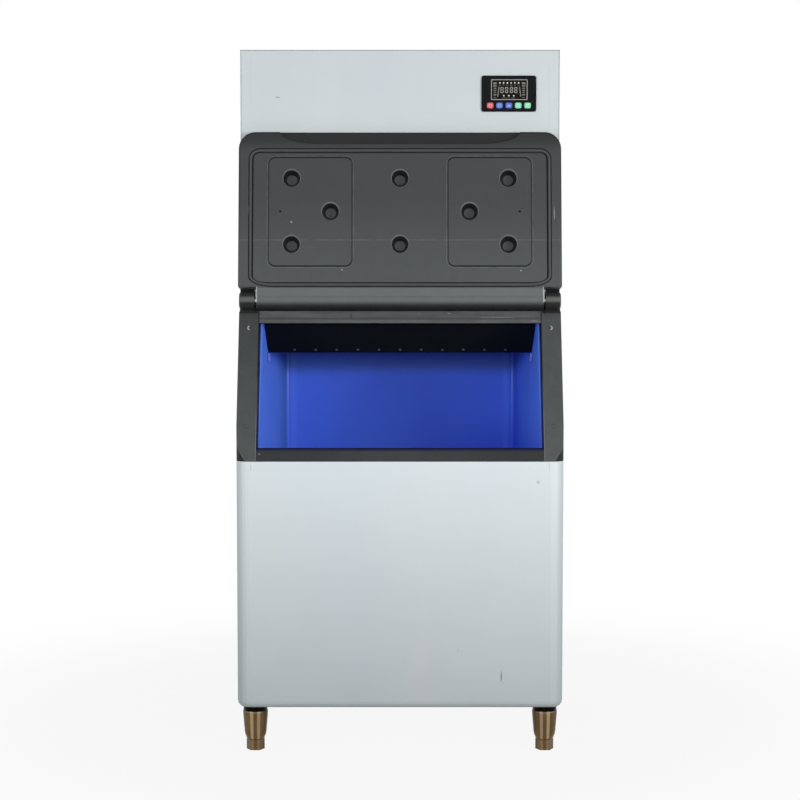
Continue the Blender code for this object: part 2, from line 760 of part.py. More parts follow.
def liner_plan(offset, front):
    """The liner's outline seen from above, grown by an offset, starting at this Y."""
    mouth_y = FRONT + LINER_FRONT
    back_y = FRONT + LINER_BACK + offset
    taper = (LINER_MOUTH_HALF_WIDTH - LINER_BACK_HALF_WIDTH) / (LINER_BACK - LINER_FRONT)
    radius = LINER_CORNER_RADIUS + offset

    def half_width(y):
        return LINER_MOUTH_HALF_WIDTH + offset - taper * (y - mouth_y)

    corner = (half_width(back_y - radius) - radius, back_y - radius)
    right = [(half_width(front), front)] + arc(corner, (radius, radius), 0, 90)
    left = [(-x, y) for x, y in reversed(right)]
    return right + left


def liner_side(offset, out):
    """The liner's outline seen from the side; its mouth is a plane this far in front of the frame's face."""
    front = FRONT + LINER_FRONT - offset
    back = FRONT + LINER_BACK + offset + SEAM
    floor = LINER_FLOOR - offset
    ceiling = LINER_CEILING + offset
    run = (front - FRAME_FOOT.y - out * SLOPE_OUT.y) / SLOPE_UP.y
    lip = slope_point(run, out)
    return [(front, floor), (back, floor), (back, ceiling), slope_at_height(ceiling, out), lip]


def liner_solid(name, offset, out, material=None, cutter=False):
    """A block with the liner's form: its plan kept only within its side view."""
    plan = liner_plan(offset, FRONT - LONG_REACH)
    solid = plate(name, "XY", [plan], 0.0, HEAD_TOP, material, cutter)
    side = plate(name + "_side", "YZ", [liner_side(offset, out)], -BODY_WIDTH, BODY_WIDTH, cutter=True)
    return combine(solid, side, "INTERSECT")


def liner_flange(name, grow, cutter=False):
    """The flat rim round the liner's mouth, behind the frame, which covers the edge of the foam."""
    front = -FRAME_DEPTH - SEAM
    back = front - LINER_WALL - grow
    low = FRAME_BOTTOM + LINER_FLANGE_ABOVE_FOOT - grow
    high = BIN_TOP - LINER_FLANGE_FROM_TOP + grow
    side = HALF_WIDTH - LINER_FLANGE_FROM_SIDE + grow
    outline = [
        slope_at_height(low, front),
        slope_at_height(low, back),
        slope_at_height(high, back),
        slope_at_height(high, front),
    ]
    return plate(name, "YZ", [outline], -side, side, cutter=cutter)


def make_ice_liner():
    mouth = -FRAME_DEPTH - SEAM
    liner = liner_solid("ice_liner", LINER_WALL, mouth, BLUE_PLASTIC)
    join(liner, liner_flange("liner_flange", 0.0))
    cut(
        liner,
        liner_solid("liner_hollow", 0.0, 0.0, cutter=True),
        cylinder(
            "liner_chute_cut",
            (0, CHUTE_Y, LINER_CEILING - CUT_REACH),
            (0, CHUTE_Y, LINER_CEILING + CUT_REACH),
            CHUTE_HOLE_RADIUS,
            cutter=True,
        ),
        cylinder(
            "liner_drain_cut",
            (0, DRAIN_Y, LINER_FLOOR - CUT_REACH),
            (0, DRAIN_Y, LINER_FLOOR + CUT_REACH),
            DRAIN_PIPE_RADIUS + SEAM,
            cutter=True,
        ),
    )
    return liner


def make_foam():
    inset = SHEET + SEAM
    foam = block("foam_insulation", inset, FOAM)
    cut(
        foam,
        front_cutter("foam_front_cut", 2 * SEAM),
        liner_flange("foam_flange_cut", SEAM, cutter=True),
        liner_solid("foam_hollow", LINER_WALL + SEAM, 0.0, cutter=True),
        cylinder(
            "foam_chute_cut",
            (0, CHUTE_Y, LINER_CEILING - CUT_REACH),
            (0, CHUTE_Y, BIN_TOP + CUT_REACH),
            CHUTE_HOLE_RADIUS,
            cutter=True,
        ),
        cylinder(
            "foam_drain_cut",
            (0, DRAIN_Y, BODY_BOTTOM - CUT_REACH),
            (0, DRAIN_Y, LINER_FLOOR + CUT_REACH),
            DRAIN_HOLE_RADIUS,
            cutter=True,
        ),
    )
    for corner, (x, y) in leg_places().items():
        cut(
            foam,
            cylinder(
                "foam_spigot_cut_" + corner,
                (x, y, BODY_BOTTOM - CUT_REACH),
                (x, y, BODY_BOTTOM + SHEET + LEG_SPIGOT_REACH + SEAM),
                LEG_SPIGOT_RADIUS + SEAM,
                cutter=True,
            ),
        )
    return foam


def frame_profile(low_height, high_height):
    return [
        slope_at_height(low_height, 0.0),
        slope_at_height(low_height, -FRAME_DEPTH),
        slope_at_height(high_height, -FRAME_DEPTH),
        slope_at_height(high_height, 0.0),
    ]


def make_header():
    """The rail above the opening, with a lip at its back that covers the edge of the foam."""
    side = OPENING_HALF_WIDTH - SEAM
    bottom = FRAME_TOP - HEADER_HEIGHT
    lip_front = HEADER_LIP - FRAME_DEPTH
    outline = [
        slope_at_height(bottom, 0.0),
        slope_at_height(bottom, lip_front),
        slope_at_height(LINER_CEILING, lip_front),
        slope_at_height(LINER_CEILING, -FRAME_DEPTH),
        slope_at_height(FRAME_TOP, -FRAME_DEPTH),
        slope_at_height(FRAME_TOP, 0.0),
    ]
    return plate("frame_header", "YZ", [outline], -side, side, BLACK_PLASTIC)


def make_sill():
    side = OPENING_HALF_WIDTH - SEAM
    top_run = SILL_HEIGHT / SLOPE_UP.z
    outline = [
        slope_at_height(FRAME_BOTTOM, 0.0),
        slope_at_height(FRAME_BOTTOM, -FRAME_DEPTH),
        slope_point(top_run, -FRAME_DEPTH),
        slope_point(top_run, 0.0),
    ]
    return plate("frame_sill", "YZ", [outline], -side, side, BLACK_PLASTIC)


def make_post(side_name, sign):
    """A side moulding of the frame, with its hinge knuckle and its two screw heads."""
    name = "frame_post_" + side_name
    low_x, high_x = sorted((sign * OPENING_HALF_WIDTH, sign * HALF_WIDTH))
    post = plate(name, "YZ", [frame_profile(FRAME_BOTTOM, FRAME_TOP)], low_x, high_x, BLACK_PLASTIC)
    rounding = block(name + "_rounding", 0.0, cutter=True)
    combine(post, rounding, "INTERSECT")
    lug_low = HINGE_RUN - KNUCKLE_RADIUS * LUG_FOOT_SHARE
    lug_high = HINGE_RUN + KNUCKLE_RADIUS * LUG_TOP_SHARE
    lug_outline = [
        slope_point(lug_low, -KNUCKLE_RADIUS),
        slope_point(lug_high, -KNUCKLE_RADIUS),
        slope_point(lug_high, HINGE_TO_FRAME / 2),
        slope_point(HINGE_RUN - KNUCKLE_RADIUS * LUG_NEAR_SHARE, HINGE_TO_FRAME / 2),
        slope_point(HINGE_RUN - KNUCKLE_RADIUS * LUG_FAR_SHARE, -SEAM),
        slope_point(lug_low, -SEAM),
    ]
    lug_x = sorted((sign * KNUCKLE_INNER_X, sign * (KNUCKLE_OUTER_X - SEAM)))
    lug = plate(name + "_lug", "YZ", [lug_outline], *lug_x)
    knuckle = turned(
        name + "_knuckle",
        [
            (0.0, KNUCKLE_OUTER_X),
            (KNUCKLE_RADIUS * KNUCKLE_END_SHARES[0], KNUCKLE_OUTER_X),
            (KNUCKLE_RADIUS * KNUCKLE_END_SHARES[1], KNUCKLE_OUTER_X - KNUCKLE_END_LENGTHS[0]),
            (KNUCKLE_RADIUS, KNUCKLE_OUTER_X - KNUCKLE_END_LENGTHS[1]),
            (KNUCKLE_RADIUS, KNUCKLE_INNER_X),
            (0.0, KNUCKLE_INNER_X),
        ],
        at=HINGE,
    )
    knuckle.rotation_euler.y = sign * math.pi / 2
    join(post, lug, knuckle)
    for place_name, height in (("upper", UPPER_SCREW_HEIGHT), ("lower", LOWER_SCREW_HEIGHT)):
        seat = slope_at_height(height, 0.0)
        start = Vector((sign * SCREW_FROM_MIDDLE, *seat)) - SLOPE_OUT * SCREW_HEAD_HEIGHT
        end = start + SLOPE_OUT * 2 * SCREW_HEAD_HEIGHT
        head_name = name + "_screw_" + place_name
        join(post, cylinder(head_name, start, end, SCREW_HEAD_RADIUS, facets=12))
    bore_start = HINGE + Vector((sign * (KNUCKLE_INNER_X - CUT_REACH), 0, 0))
    bore_end = HINGE + Vector((sign * (DOOR_NOTCH_HALF_WIDTH + PIN_REACH + SEAM), 0, 0))
    bore = cylinder(name + "_bore", bore_start, bore_end, PIN_RADIUS + PIN_BORE_CLEARANCE, cutter=True)
    return cut(post, bore)


def make_hinge_pin(side_name, sign):
    start = HINGE + Vector((sign * (DOOR_NOTCH_HALF_WIDTH - PIN_REACH), 0, 0))
    end = HINGE + Vector((sign * (DOOR_NOTCH_HALF_WIDTH + PIN_REACH), 0, 0))
    return cylinder("hinge_pin_" + side_name, start, end, PIN_RADIUS, BARE_STEEL)


def baffle_direction():
    run = Vector((0.0, BAFFLE_EDGE_DEPTH - BAFFLE_TOP_DEPTH, BAFFLE_EDGE_HEIGHT - BAFFLE_TOP_HEIGHT))
    return run.normalized(), run.length


def make_baffle():
    """The sloping plate, laid out in its own plane with +Y down its slope, with the studs on its front."""
    down, length = baffle_direction()
    wide = BAFFLE_TOP_HALF_WIDTH
    narrow = BAFFLE_EDGE_HALF_WIDTH
    outline = [(-narrow, length), (narrow, length), (wide, 0.0), (-wide, 0.0)]
    baffle = plate("ice_baffle", "XY", [outline], -BAFFLE_SHEET, 0.0, BLACK_PLASTIC)
    first = -STUD_SPACING * (STUD_COUNT - 1) / 2
    for number in range(STUD_COUNT):
        x = first + STUD_SPACING * number
        along = length - STUD_FROM_EDGE
        stud = cylinder(
            f"baffle_stud_{number + 1}",
            (x, along, -BAFFLE_SHEET - STUD_HEIGHT),
            (x, along, -BAFFLE_SHEET / 2),
            STUD_RADIUS,
            facets=8,
        )
        stud.parent = baffle
        join(baffle, stud)
    baffle.location = (0.0, depth(BAFFLE_TOP_DEPTH), BAFFLE_TOP_HEIGHT)
    baffle.rotation_euler.x = math.atan2(down.z, down.y)
    return baffle


def make_bracket(side_name, sign):
    """A small bright plate on the liner's side wall, under a lower corner of the baffle."""
    taper = (LINER_MOUTH_HALF_WIDTH - LINER_BACK_HALF_WIDTH) / (LINER_BACK - LINER_FRONT)
    wall = LINER_MOUTH_HALF_WIDTH - taper * (BAFFLE_EDGE_DEPTH - LINER_FRONT)
    outer = sign * (wall - SEAM)
    inner = sign * (wall - SEAM - BRACKET_SHEET)
    top = BAFFLE_EDGE_HEIGHT - BAFFLE_SHEET - SEAM
    low_x, high_x = sorted((outer, inner))
    low = (low_x, depth(BAFFLE_EDGE_DEPTH) - BRACKET_SIZE, top - BRACKET_HEIGHT)
    high = (high_x, depth(BAFFLE_EDGE_DEPTH), top)
    return box("baffle_bracket_" + side_name, low, high, BARE_STEEL)


def door_lean():
    """How far the open door leans back from upright, with its bumpers on the head."""
    along = DOOR_LENGTH - DOOR_BUMPER_FROM_END + DOOR_BUMPER_RADIUS
    across = DOOR_OUTER + DOOR_BUMPER_HEIGHT
    room = HEAD_FRONT - SEAM - HINGE.y
    return math.asin(room / math.hypot(along, across)) - math.atan2(across, along)


def door_outline():
    """The slab above the hinge, with small lower corners and round upper ones."""
    wide = DOOR_HALF_WIDTH
    radius = DOOR_CORNER_RADIUS
    small = DOOR_FOOT_RADIUS
    right = arc((wide - small, DOOR_NOTCH_START + small), (small, small), 270, 360, 3)
    right += arc((wide - radius, DOOR_LENGTH - radius), (radius, radius), 0, 90, 8)
    return right + [(-x, z) for x, z in reversed(right)]


def grip_outline():
    end = GRIP_END_SHARE * GRIP_HALF_WIDTH
    over = DOOR_LENGTH + CUT_REACH
    left = arc((-GRIP_HALF_WIDTH + end, DOOR_LENGTH), (end, GRIP_DROP), 180, 270)
    left = [(-GRIP_HALF_WIDTH, over)] + left
    return left + [(-x, z) for x, z in reversed(left)]


def groove_outlines(clearance):
    """The outer and inner edge of the seal's groove, drawn in by a clearance."""
    outer = GROOVE_OUTER_X - clearance
    inner = GROOVE_OUTER_X - GROOVE_WIDTH + clearance
    radius = GROOVE_CORNER_RADIUS - clearance
    less = GROOVE_WIDTH - 2 * clearance
    low_outer = GROOVE_START + clearance
    high_outer = GROOVE_END - clearance
    return [
        rounded((-outer, low_outer), (outer, high_outer), radius, (GROOVE_LOW_STRETCH * radius, radius)),
        rounded(
            (-inner, low_outer + less),
            (inner, high_outer - less),
            radius - less,
            (GROOVE_LOW_STRETCH * (radius - less), radius - less),
        ),
    ]


def pad_outlines(sign):
    """The thin line pressed round one of the door's two pads."""
    low_x, high_x = sorted((sign * PAD_INNER_X, sign * PAD_OUTER_X))
    line = PAD_LINE
    return [
        rounded((low_x, PAD_START), (high_x, PAD_END), PAD_CORNER_RADIUS),
        rounded((low_x + line, PAD_START + line), (high_x - line, PAD_END - line), PAD_CORNER_RADIUS - line),
    ]


def dimple_places():
    places = [(0.0, DIMPLE_UPPER), (0.0, DIMPLE_LOWER)]
    for sign in (-1, 1):
        places.append((sign * DIMPLE_OUTER_X, DIMPLE_UPPER))
        places.append((sign * DIMPLE_OUTER_X, DIMPLE_LOWER))
        places.append((sign * DIMPLE_PAD_X, DIMPLE_MIDDLE))
    return places


def make_door():
    """The moulded door. Its own Z runs from the hinge to its free end, and its inner face is at -Y."""
    face = -DOOR_INNER
    out = FACE_REACH
    door = plate("door", "XZ", [door_outline()], face, DOOR_OUTER, BLACK_PLASTIC)
    round_rims(door, DOOR_EDGE_ROUND)
    beam_x = DOOR_NOTCH_HALF_WIDTH
    beam = cylinder("door_beam", (-beam_x, 0, 0), (beam_x, 0, 0), DOOR_BEAM_RADIUS, facets=32)
    neck_low = (SEAM - beam_x, face + SEAM, 0.0)
    neck_high = (beam_x - SEAM, DOOR_OUTER - SEAM, 2 * DOOR_NOTCH_START)
    neck = box("door_neck", neck_low, neck_high)
    join(door, neck, beam)
    cutters = [
        plate("door_grip", "XZ", [grip_outline()], face - out, face + GRIP_CUT_DEPTH, cutter=True),
        plate("door_groove", "XZ", groove_outlines(0.0), face - out, face + GROOVE_DEPTH, cutter=True),
        plate("door_pad_left", "XZ", pad_outlines(-1), face - out, face + PAD_DEPTH, cutter=True),
        plate("door_pad_right", "XZ", pad_outlines(1), face - out, face + PAD_DEPTH, cutter=True),
    ]
    taper = (DIMPLE_MOUTH_RADIUS - DIMPLE_FLOOR_RADIUS) / DIMPLE_DEPTH
    for number, (x, z) in enumerate(dimple_places()):
        cutters.append(
            cylinder(
                f"door_dimple_{number + 1}",
                (x, face - out, z),
                (x, face + DIMPLE_DEPTH, z),
                DIMPLE_MOUTH_RADIUS + taper * out,
                cutter=True,
                end_radius=DIMPLE_FLOOR_RADIUS,
            )
        )
    for sign in (-1, 1):
        x = sign * VENT_X
        vent_end = (x, face + VENT_DEPTH, DIMPLE_MIDDLE)
        name = f"door_vent_{sign + 2}"
        cutters.append(
            cylinder(name, (x, face - out, DIMPLE_MIDDLE), vent_end, VENT_RADIUS, cutter=True, facets=8)
        )
        bore_start = (sign * (beam_x + CUT_REACH), 0, 0)
        bore_end = (sign * (beam_x - PIN_REACH - SEAM), 0, 0)
        bore_radius = PIN_RADIUS + PIN_BORE_CLEARANCE
        cutters.append(cylinder(f"door_bore_{sign + 2}", bore_start, bore_end, bore_radius, cutter=True))
    for other in [neck, beam, *cutters]:
        other.parent = door
    cut(door, *cutters)
    door.location = HINGE
    door.rotation_euler.x = -door_lean()
    return door


def make_gasket(door):
    low = -DOOR_INNER - GASKET_PROUD
    high = -DOOR_INNER + GROOVE_DEPTH - SEAM
    gasket = plate("door_gasket", "XZ", groove_outlines(GASKET_CLEARANCE), low, high, RUBBER)
    gasket.parent = door
    return gasket


def make_bumper(door, side_name, sign):
    along = DOOR_LENGTH - DOOR_BUMPER_FROM_END
    start = (sign * DOOR_BUMPER_X, DOOR_OUTER + SEAM, along)
    end = (sign * DOOR_BUMPER_X, DOOR_OUTER + DOOR_BUMPER_HEIGHT, along)
    bumper = cylinder("door_bumper_" + side_name, start, end, DOOR_BUMPER_RADIUS, RUBBER, facets=16)
    bumper.parent = door
    return bumper


def make_leg(corner, at):
    top = BODY_BOTTOM + SHEET + LEG_SPIGOT_REACH
    seat = BODY_BOTTOM - SEAM
    ring = BODY_BOTTOM - LEG_GAP
    bore = FOOT_STEM_RADIUS + STEM_CLEARANCE
    bore_top = FOOT_HEIGHT + FOOT_STEM_REACH + STEM_END_ROOM
    profile = [
        (0.0, top),
        (LEG_SPIGOT_RADIUS, top),
        (LEG_SPIGOT_RADIUS, seat),
        (LEG_RING_NECK_RADIUS, seat),
        (LEG_RING_NECK_RADIUS, ring),
        (LEG_TOP_RADIUS - LEG_RING_EDGE, ring),
        (LEG_TOP_RADIUS, ring - LEG_RING_EDGE),
        (LEG_TOP_RADIUS - LEG_RING_TAPER, ring - LEG_RING_HEIGHT),
        *[(radius, LEG_BOTTOM + rise) for radius, rise in LEG_SHOULDER],
        (LEG_NECK_RADIUS, LEG_BOTTOM),
        (bore, LEG_BOTTOM),
        (bore, bore_top),
        (0.0, bore_top),
    ]
    return turned("leg_" + corner, profile, BRONZE, at=(at[0], at[1], 0.0))


def make_foot(corner, at):
    x, y = at
    foot = cylinder("foot_" + corner, (x, y, 0), (x, y, FOOT_HEIGHT), FOOT_RADIUS, BRONZE, facets=6)
    centre = Matrix.Translation((x, y, 0))
    foot.data.transform(centre @ Matrix.Rotation(math.pi / 6, 4, "Z") @ centre.inverted())
    stem_top = FOOT_HEIGHT + FOOT_STEM_REACH
    stem = cylinder("foot_stem_" + corner, (x, y, FOOT_HEIGHT / 2), (x, y, stem_top), FOOT_STEM_RADIUS)
    return join(foot, stem)


def make_drain():
    flange_top = LINER_FLOOR + SEAM + DRAIN_FLANGE
    hollow = DRAIN_PIPE_RADIUS - DRAIN_PIPE_WALL
    bottom = BODY_BOTTOM - DRAIN_DROP
    profile = [
        (hollow, flange_top),
        (DRAIN_FLANGE_RADIUS, flange_top),
        (DRAIN_FLANGE_RADIUS, flange_top - DRAIN_FLANGE),
        (DRAIN_PIPE_RADIUS, flange_top - DRAIN_FLANGE),
        (DRAIN_PIPE_RADIUS, bottom),
        (hollow, bottom),
    ]
    return turned("drain_fitting", profile, WHITE_PLASTIC, at=(0.0, DRAIN_Y, 0.0))


def centred(middle, width, height):
    """A rectangle's outline about its middle."""
    low = (middle[0] - width / 2, middle[1] - height / 2)
    high = (middle[0] + width / 2, middle[1] + height / 2)
    return rectangle(low, high)


def make_head_base():
    outline = rectangle((-HEAD_SIDE, HEAD_FRONT + SHEET + SEAM), (HEAD_SIDE, BACK - SHEET - SEAM))
    hole = circle((0.0, CHUTE_Y), CHUTE_HOLE_RADIUS)
    return plate("head_base", "XY", [outline, hole], HEAD_BOTTOM, HEAD_BOTTOM + HEAD_BASE_SHEET, BARE_STEEL)


def make_head_front():
    outline = rectangle((-HEAD_SIDE, HEAD_BOTTOM), (HEAD_SIDE, PANEL_TOP))
    margin = 2 * PANEL_CUTOUT_MARGIN
    hole = centred((FASCIA_X, FASCIA_Z), FASCIA_WIDTH - margin, FASCIA_HEIGHT - margin)
    return plate("head_front_panel", "XZ", [outline, hole], HEAD_FRONT, HEAD_FRONT + SHEET, STEEL)


def make_head_side(side_name, sign):
    name = f"head_{side_name}_panel"
    low_x, high_x = sorted((sign * (HALF_WIDTH - SHEET), sign * HALF_WIDTH))
    panel = box(name, (low_x, HEAD_FRONT, HEAD_BOTTOM), (high_x, BACK, PANEL_TOP), STEEL)
    first = LOUVRE_MIDDLE - LOUVRE_SPACING * (LOUVRE_COUNT - 1) / 2
    louvres = []
    for number in range(LOUVRE_COUNT):
        middle = (depth(LOUVRE_DEPTH), first + LOUVRE_SPACING * number)
        louvres.append(centred(middle, LOUVRE_LENGTH, LOUVRE_HEIGHT))
    return cut(panel, slots(name + "_louvres", "YZ", louvres, low_x - CUT_REACH, high_x + CUT_REACH))


def make_head_back():
    name = "head_back_panel"
    panel = box(name, (-HEAD_SIDE, BACK - SHEET, HEAD_BOTTOM), (HEAD_SIDE, BACK, PANEL_TOP), STEEL)
    holes = [centred((SWITCH_X, FITTING_Z), SWITCH_WIDTH + 2 * SEAM, SWITCH_HEIGHT + 2 * SEAM)]
    spacing = 2 * LOUVRE_HEIGHT
    count = int(FAN_HOLE_RADIUS / spacing)
    for number in range(-count, count + 1):
        rise = spacing * number
        chord = 2 * math.sqrt(FAN_HOLE_RADIUS**2 - rise**2) - LOUVRE_HEIGHT
        holes.append(centred((FAN_X, FAN_Z + rise), chord, LOUVRE_HEIGHT))
    cut(panel, slots(name + "_slots", "XZ", holes, BACK - CUT_REACH, BACK + CUT_REACH))
    for hole_name, x, radius in (("inlet", INLET_X, INLET_RADIUS), ("gland", GLAND_X, GLAND_RADIUS)):
        start = (x, BACK - CUT_REACH, FITTING_Z)
        end = (x, BACK + CUT_REACH, FITTING_Z)
        cut(panel, cylinder(f"{name}_{hole_name}", start, end, radius + SEAM, cutter=True))
    return panel


def make_top_cover():
    low = (-HALF_WIDTH, HEAD_FRONT, HEAD_TOP - SHEET)
    return box("head_top_cover", low, (HALF_WIDTH, BACK, HEAD_TOP), STEEL)


def button_places():
    return [(BUTTON_FIRST_X + BUTTON_SPACING * number, BUTTON_Z) for number in range(BUTTON_COUNT)]


def key_outline(middle, grow=0.0):
    """A key's rounded outline, grown by the same amount all round."""
    low = (middle[0] - BUTTON_WIDTH / 2 - grow, middle[1] - BUTTON_HEIGHT / 2 - grow)
    high = (middle[0] + BUTTON_WIDTH / 2 + grow, middle[1] + BUTTON_HEIGHT / 2 + grow)
    return rounded(low, high, BUTTON_CORNER_RADIUS + grow, steps=3)


def make_fascia():
    low = (FASCIA_X - FASCIA_WIDTH / 2, FASCIA_Z - FASCIA_HEIGHT / 2)
    high = (FASCIA_X + FASCIA_WIDTH / 2, FASCIA_Z + FASCIA_HEIGHT / 2)
    outlines = [rounded(low, high, FASCIA_CORNER_RADIUS, steps=3)]
    outlines.append(centred((DISPLAY_X, DISPLAY_Z), DISPLAY_WIDTH + 2 * SEAM, DISPLAY_HEIGHT + 2 * SEAM))
    for middle in button_places():
        outlines.append(key_outline(middle, BUTTON_CLEARANCE))
    return plate("control_fascia", "XZ", outlines, FASCIA_FRONT, FASCIA_BACK, BLACK_PLASTIC)


def make_display():
    outline = centred((DISPLAY_X, DISPLAY_Z), DISPLAY_WIDTH, DISPLAY_HEIGHT)
    return plate("display_window", "XZ", [outline], FASCIA_FRONT + DISPLAY_RECESS, FASCIA_BACK, GLASS)


def button_back():
    return FASCIA_BACK + BUTTON_FLANGE + SEAM


def make_button(number, middle, material):
    """A key cap through the fascia, with a flange behind it that keeps it in."""
    front = FASCIA_FRONT - BUTTON_PROUD
    back = button_back()
    name = f"button_{number}"
    cap = plate(name, "XZ", [key_outline(middle)], front, back, material)
    flange = [key_outline(middle, BUTTON_LIP)]
    return join(cap, plate(name + "_flange", "XZ", flange, FASCIA_BACK + SEAM, back))


def make_board():
    """The circuit board, with its pillars up to the fascia and a switch under each key."""
    front = HEAD_FRONT + BOARD_SETBACK
    low = (FASCIA_X - BOARD_WIDTH / 2, front, FASCIA_Z - BOARD_HEIGHT / 2)
    high = (FASCIA_X + BOARD_WIDTH / 2, front + BOARD_THICKNESS, FASCIA_Z + BOARD_HEIGHT / 2)
    board = box("control_board", low, high, BOARD_GREEN)
    inside = front + BOARD_THICKNESS / 2
    for across in (-1, 1):
        x = FASCIA_X + across * (FASCIA_WIDTH / 2 - 2 * PANEL_CUTOUT_MARGIN)
        for up in (-1, 1):
            z = DISPLAY_Z + up * (DISPLAY_HEIGHT / 2 - BOARD_PILLAR_RADIUS)
            name = f"board_pillar_{across + 2}_{up + 2}"
            start = (x, FASCIA_BACK + SEAM, z)
            join(board, cylinder(name, start, (x, inside, z), BOARD_PILLAR_RADIUS, facets=8))
    for number, (x, z) in enumerate(button_places()):
        start = (x, button_back() + BUTTON_TRAVEL + SEAM, z)
        switch = cylinder(f"board_switch_{number + 1}", start, (x, inside, z), BOARD_PILLAR_RADIUS, facets=8)
        join(board, switch)
    return board


def make_compressor():
    """The domed steel can on three rubber feet, turned as one shape with its foot plate."""
    radius = COMPRESSOR_RADIUS
    low = HEAD_FLOOR + COMPRESSOR_FOOT
    top = low + COMPRESSOR_HEIGHT
    plate_radius = radius * COMPRESSOR_PLATE_SHARE
    profile = []
    for turn in COMPRESSOR_DOME_TURNS:
        drop = radius * COMPRESSOR_DOME_SHARE * (1 - math.cos(turn))
        profile.append((radius * math.sin(turn), top - drop))
    profile.append((radius, low + COMPRESSOR_SEAM_HEIGHT))
    profile.append((radius * COMPRESSOR_WAIST_SHARE, low + COMPRESSOR_WAIST_HEIGHT))
    profile.append((plate_radius, low + COMPRESSOR_PLATE))
    profile.append((plate_radius, low))
    profile.append((0.0, low))
    y = depth(COMPRESSOR_DEPTH)
    can = turned("compressor", profile, COMPRESSOR_PAINT, at=(COMPRESSOR_X, y, 0.0))
    for number in range(3):
        angle = math.radians(90 + 120 * number)
        x = radius * math.cos(angle)
        across = radius * math.sin(angle)
        name = f"compressor_foot_{number + 1}"
        foot_top = (x, across, low + COMPRESSOR_FOOT_SINK)
        foot = cylinder(name, (x, across, HEAD_FLOOR), foot_top, COMPRESSOR_FOOT_RADIUS, facets=10)
        foot.parent = can
        join(can, foot)
    return can


def make_condenser():
    """The finned coil, with its side plates reaching the floor of the head."""
    low = (FAN_X - CONDENSER_WIDTH / 2, FAN_Z - CONDENSER_HEIGHT / 2)
    high = (FAN_X + CONDENSER_WIDTH / 2, FAN_Z + CONDENSER_HEIGHT / 2)
    frame = CONDENSER_FRAME
    coil_low = (low[0], CONDENSER_FRONT, HEAD_FLOOR)
    coil_high = (high[0], CONDENSER_BACK, high[1])
    coil = box("condenser_coil", coil_low, coil_high, BARE_STEEL)
    pitch = (CONDENSER_WIDTH - 2 * frame) / CONDENSER_FINS
    gaps = []
    for number in range(CONDENSER_FINS):
        x = low[0] + frame + pitch * (number + 0.5)
        gaps.append(centred((x, FAN_Z), pitch * CONDENSER_GAP_SHARE, CONDENSER_HEIGHT - 2 * frame))
    front = CONDENSER_FRONT - CUT_REACH
    back = CONDENSER_BACK + CUT_REACH
    return cut(coil, slots("condenser_gaps", "XZ", gaps, front, back))


def make_shroud():
    outline = centred((FAN_X, FAN_Z), CONDENSER_WIDTH, CONDENSER_HEIGHT)
    hole = circle((FAN_X, FAN_Z), FAN_HOLE_RADIUS)
    return plate("fan_shroud", "XZ", [outline, hole], SHROUD_FRONT, SHROUD_FRONT + SHROUD_SHEET, BARE_STEEL)


def fan_hub_back():
    return SHROUD_FRONT - FAN_GAP


def motor_back():
    return fan_hub_back() - FAN_HUB_LENGTH - FAN_GAP


def make_motor():
    """The fan's motor, with its shaft and the cross arms that hold it to the shroud."""
    back = motor_back()
    start = (FAN_X, back - MOTOR_LENGTH, FAN_Z)
    motor = cylinder("fan_motor", start, (FAN_X, back, FAN_Z), MOTOR_RADIUS, BARE_STEEL)
    shaft_end = (FAN_X, fan_hub_back() - FAN_GAP, FAN_Z)
    shaft_start = (FAN_X, back - SHAFT_SINK, FAN_Z)
    join(motor, cylinder("fan_shaft", shaft_start, shaft_end, SHAFT_RADIUS, facets=12))
    half = MOTOR_ARM / 2
    middle = back - MOTOR_LENGTH / 2
    for sign in (-1, 1):
        reach = sign * (FAN_HOLE_RADIUS + MOTOR_ARM)
        xs = sorted((FAN_X, FAN_X + reach))
        side_low = (xs[0], middle - half, FAN_Z - half)
        side_high = (xs[1], middle + half, FAN_Z + half)
        side = box(f"fan_arm_{sign + 2}", side_low, side_high)
        leg_low = (FAN_X + reach - half, middle - half, FAN_Z - half)
        leg_high = (FAN_X + reach + half, SHROUD_FRONT - SEAM, FAN_Z + half)
        join(motor, side, box(f"fan_arm_leg_{sign + 2}", leg_low, leg_high))
    return motor


def make_fan():
    """Hub and blades about the fan's own axis, which is its local Z, laid along Y."""
    bore = SHAFT_RADIUS + FAN_BORE_CLEARANCE
    hub_profile = [
        (bore, FAN_HUB_LENGTH - FAN_GAP),
        (FAN_HUB_RADIUS, FAN_HUB_LENGTH - FAN_GAP),
        (FAN_HUB_RADIUS, 0.0),
        (bore, 0.0),
    ]
    fan = turned("fan_blade", hub_profile, BLACK_PLASTIC, facets=20)
    for number in range(FAN_BLADE_COUNT):
        turn = 2 * math.pi * number / FAN_BLADE_COUNT
        low = (FAN_HUB_RADIUS - FAN_ROOT, -FAN_BLADE_WIDTH / 2, -FAN_BLADE_SHEET / 2)
        high = (FAN_BLADE_RADIUS - FAN_TIP, FAN_BLADE_WIDTH / 2, FAN_BLADE_SHEET / 2)
        blade = box(f"fan_vane_{number + 1}", low, high)
        pitch = Matrix.Rotation(FAN_BLADE_PITCH, 4, "X")
        lift = Matrix.Translation((0, 0, (FAN_HUB_LENGTH - FAN_GAP) / 2))
        blade.data.transform(Matrix.Rotation(turn, 4, "Z") @ lift @ pitch)
        blade.parent = fan
        join(fan, blade)
    fan.location = (FAN_X, fan_hub_back(), FAN_Z)
    fan.rotation_euler.x = math.pi / 2
    return fan


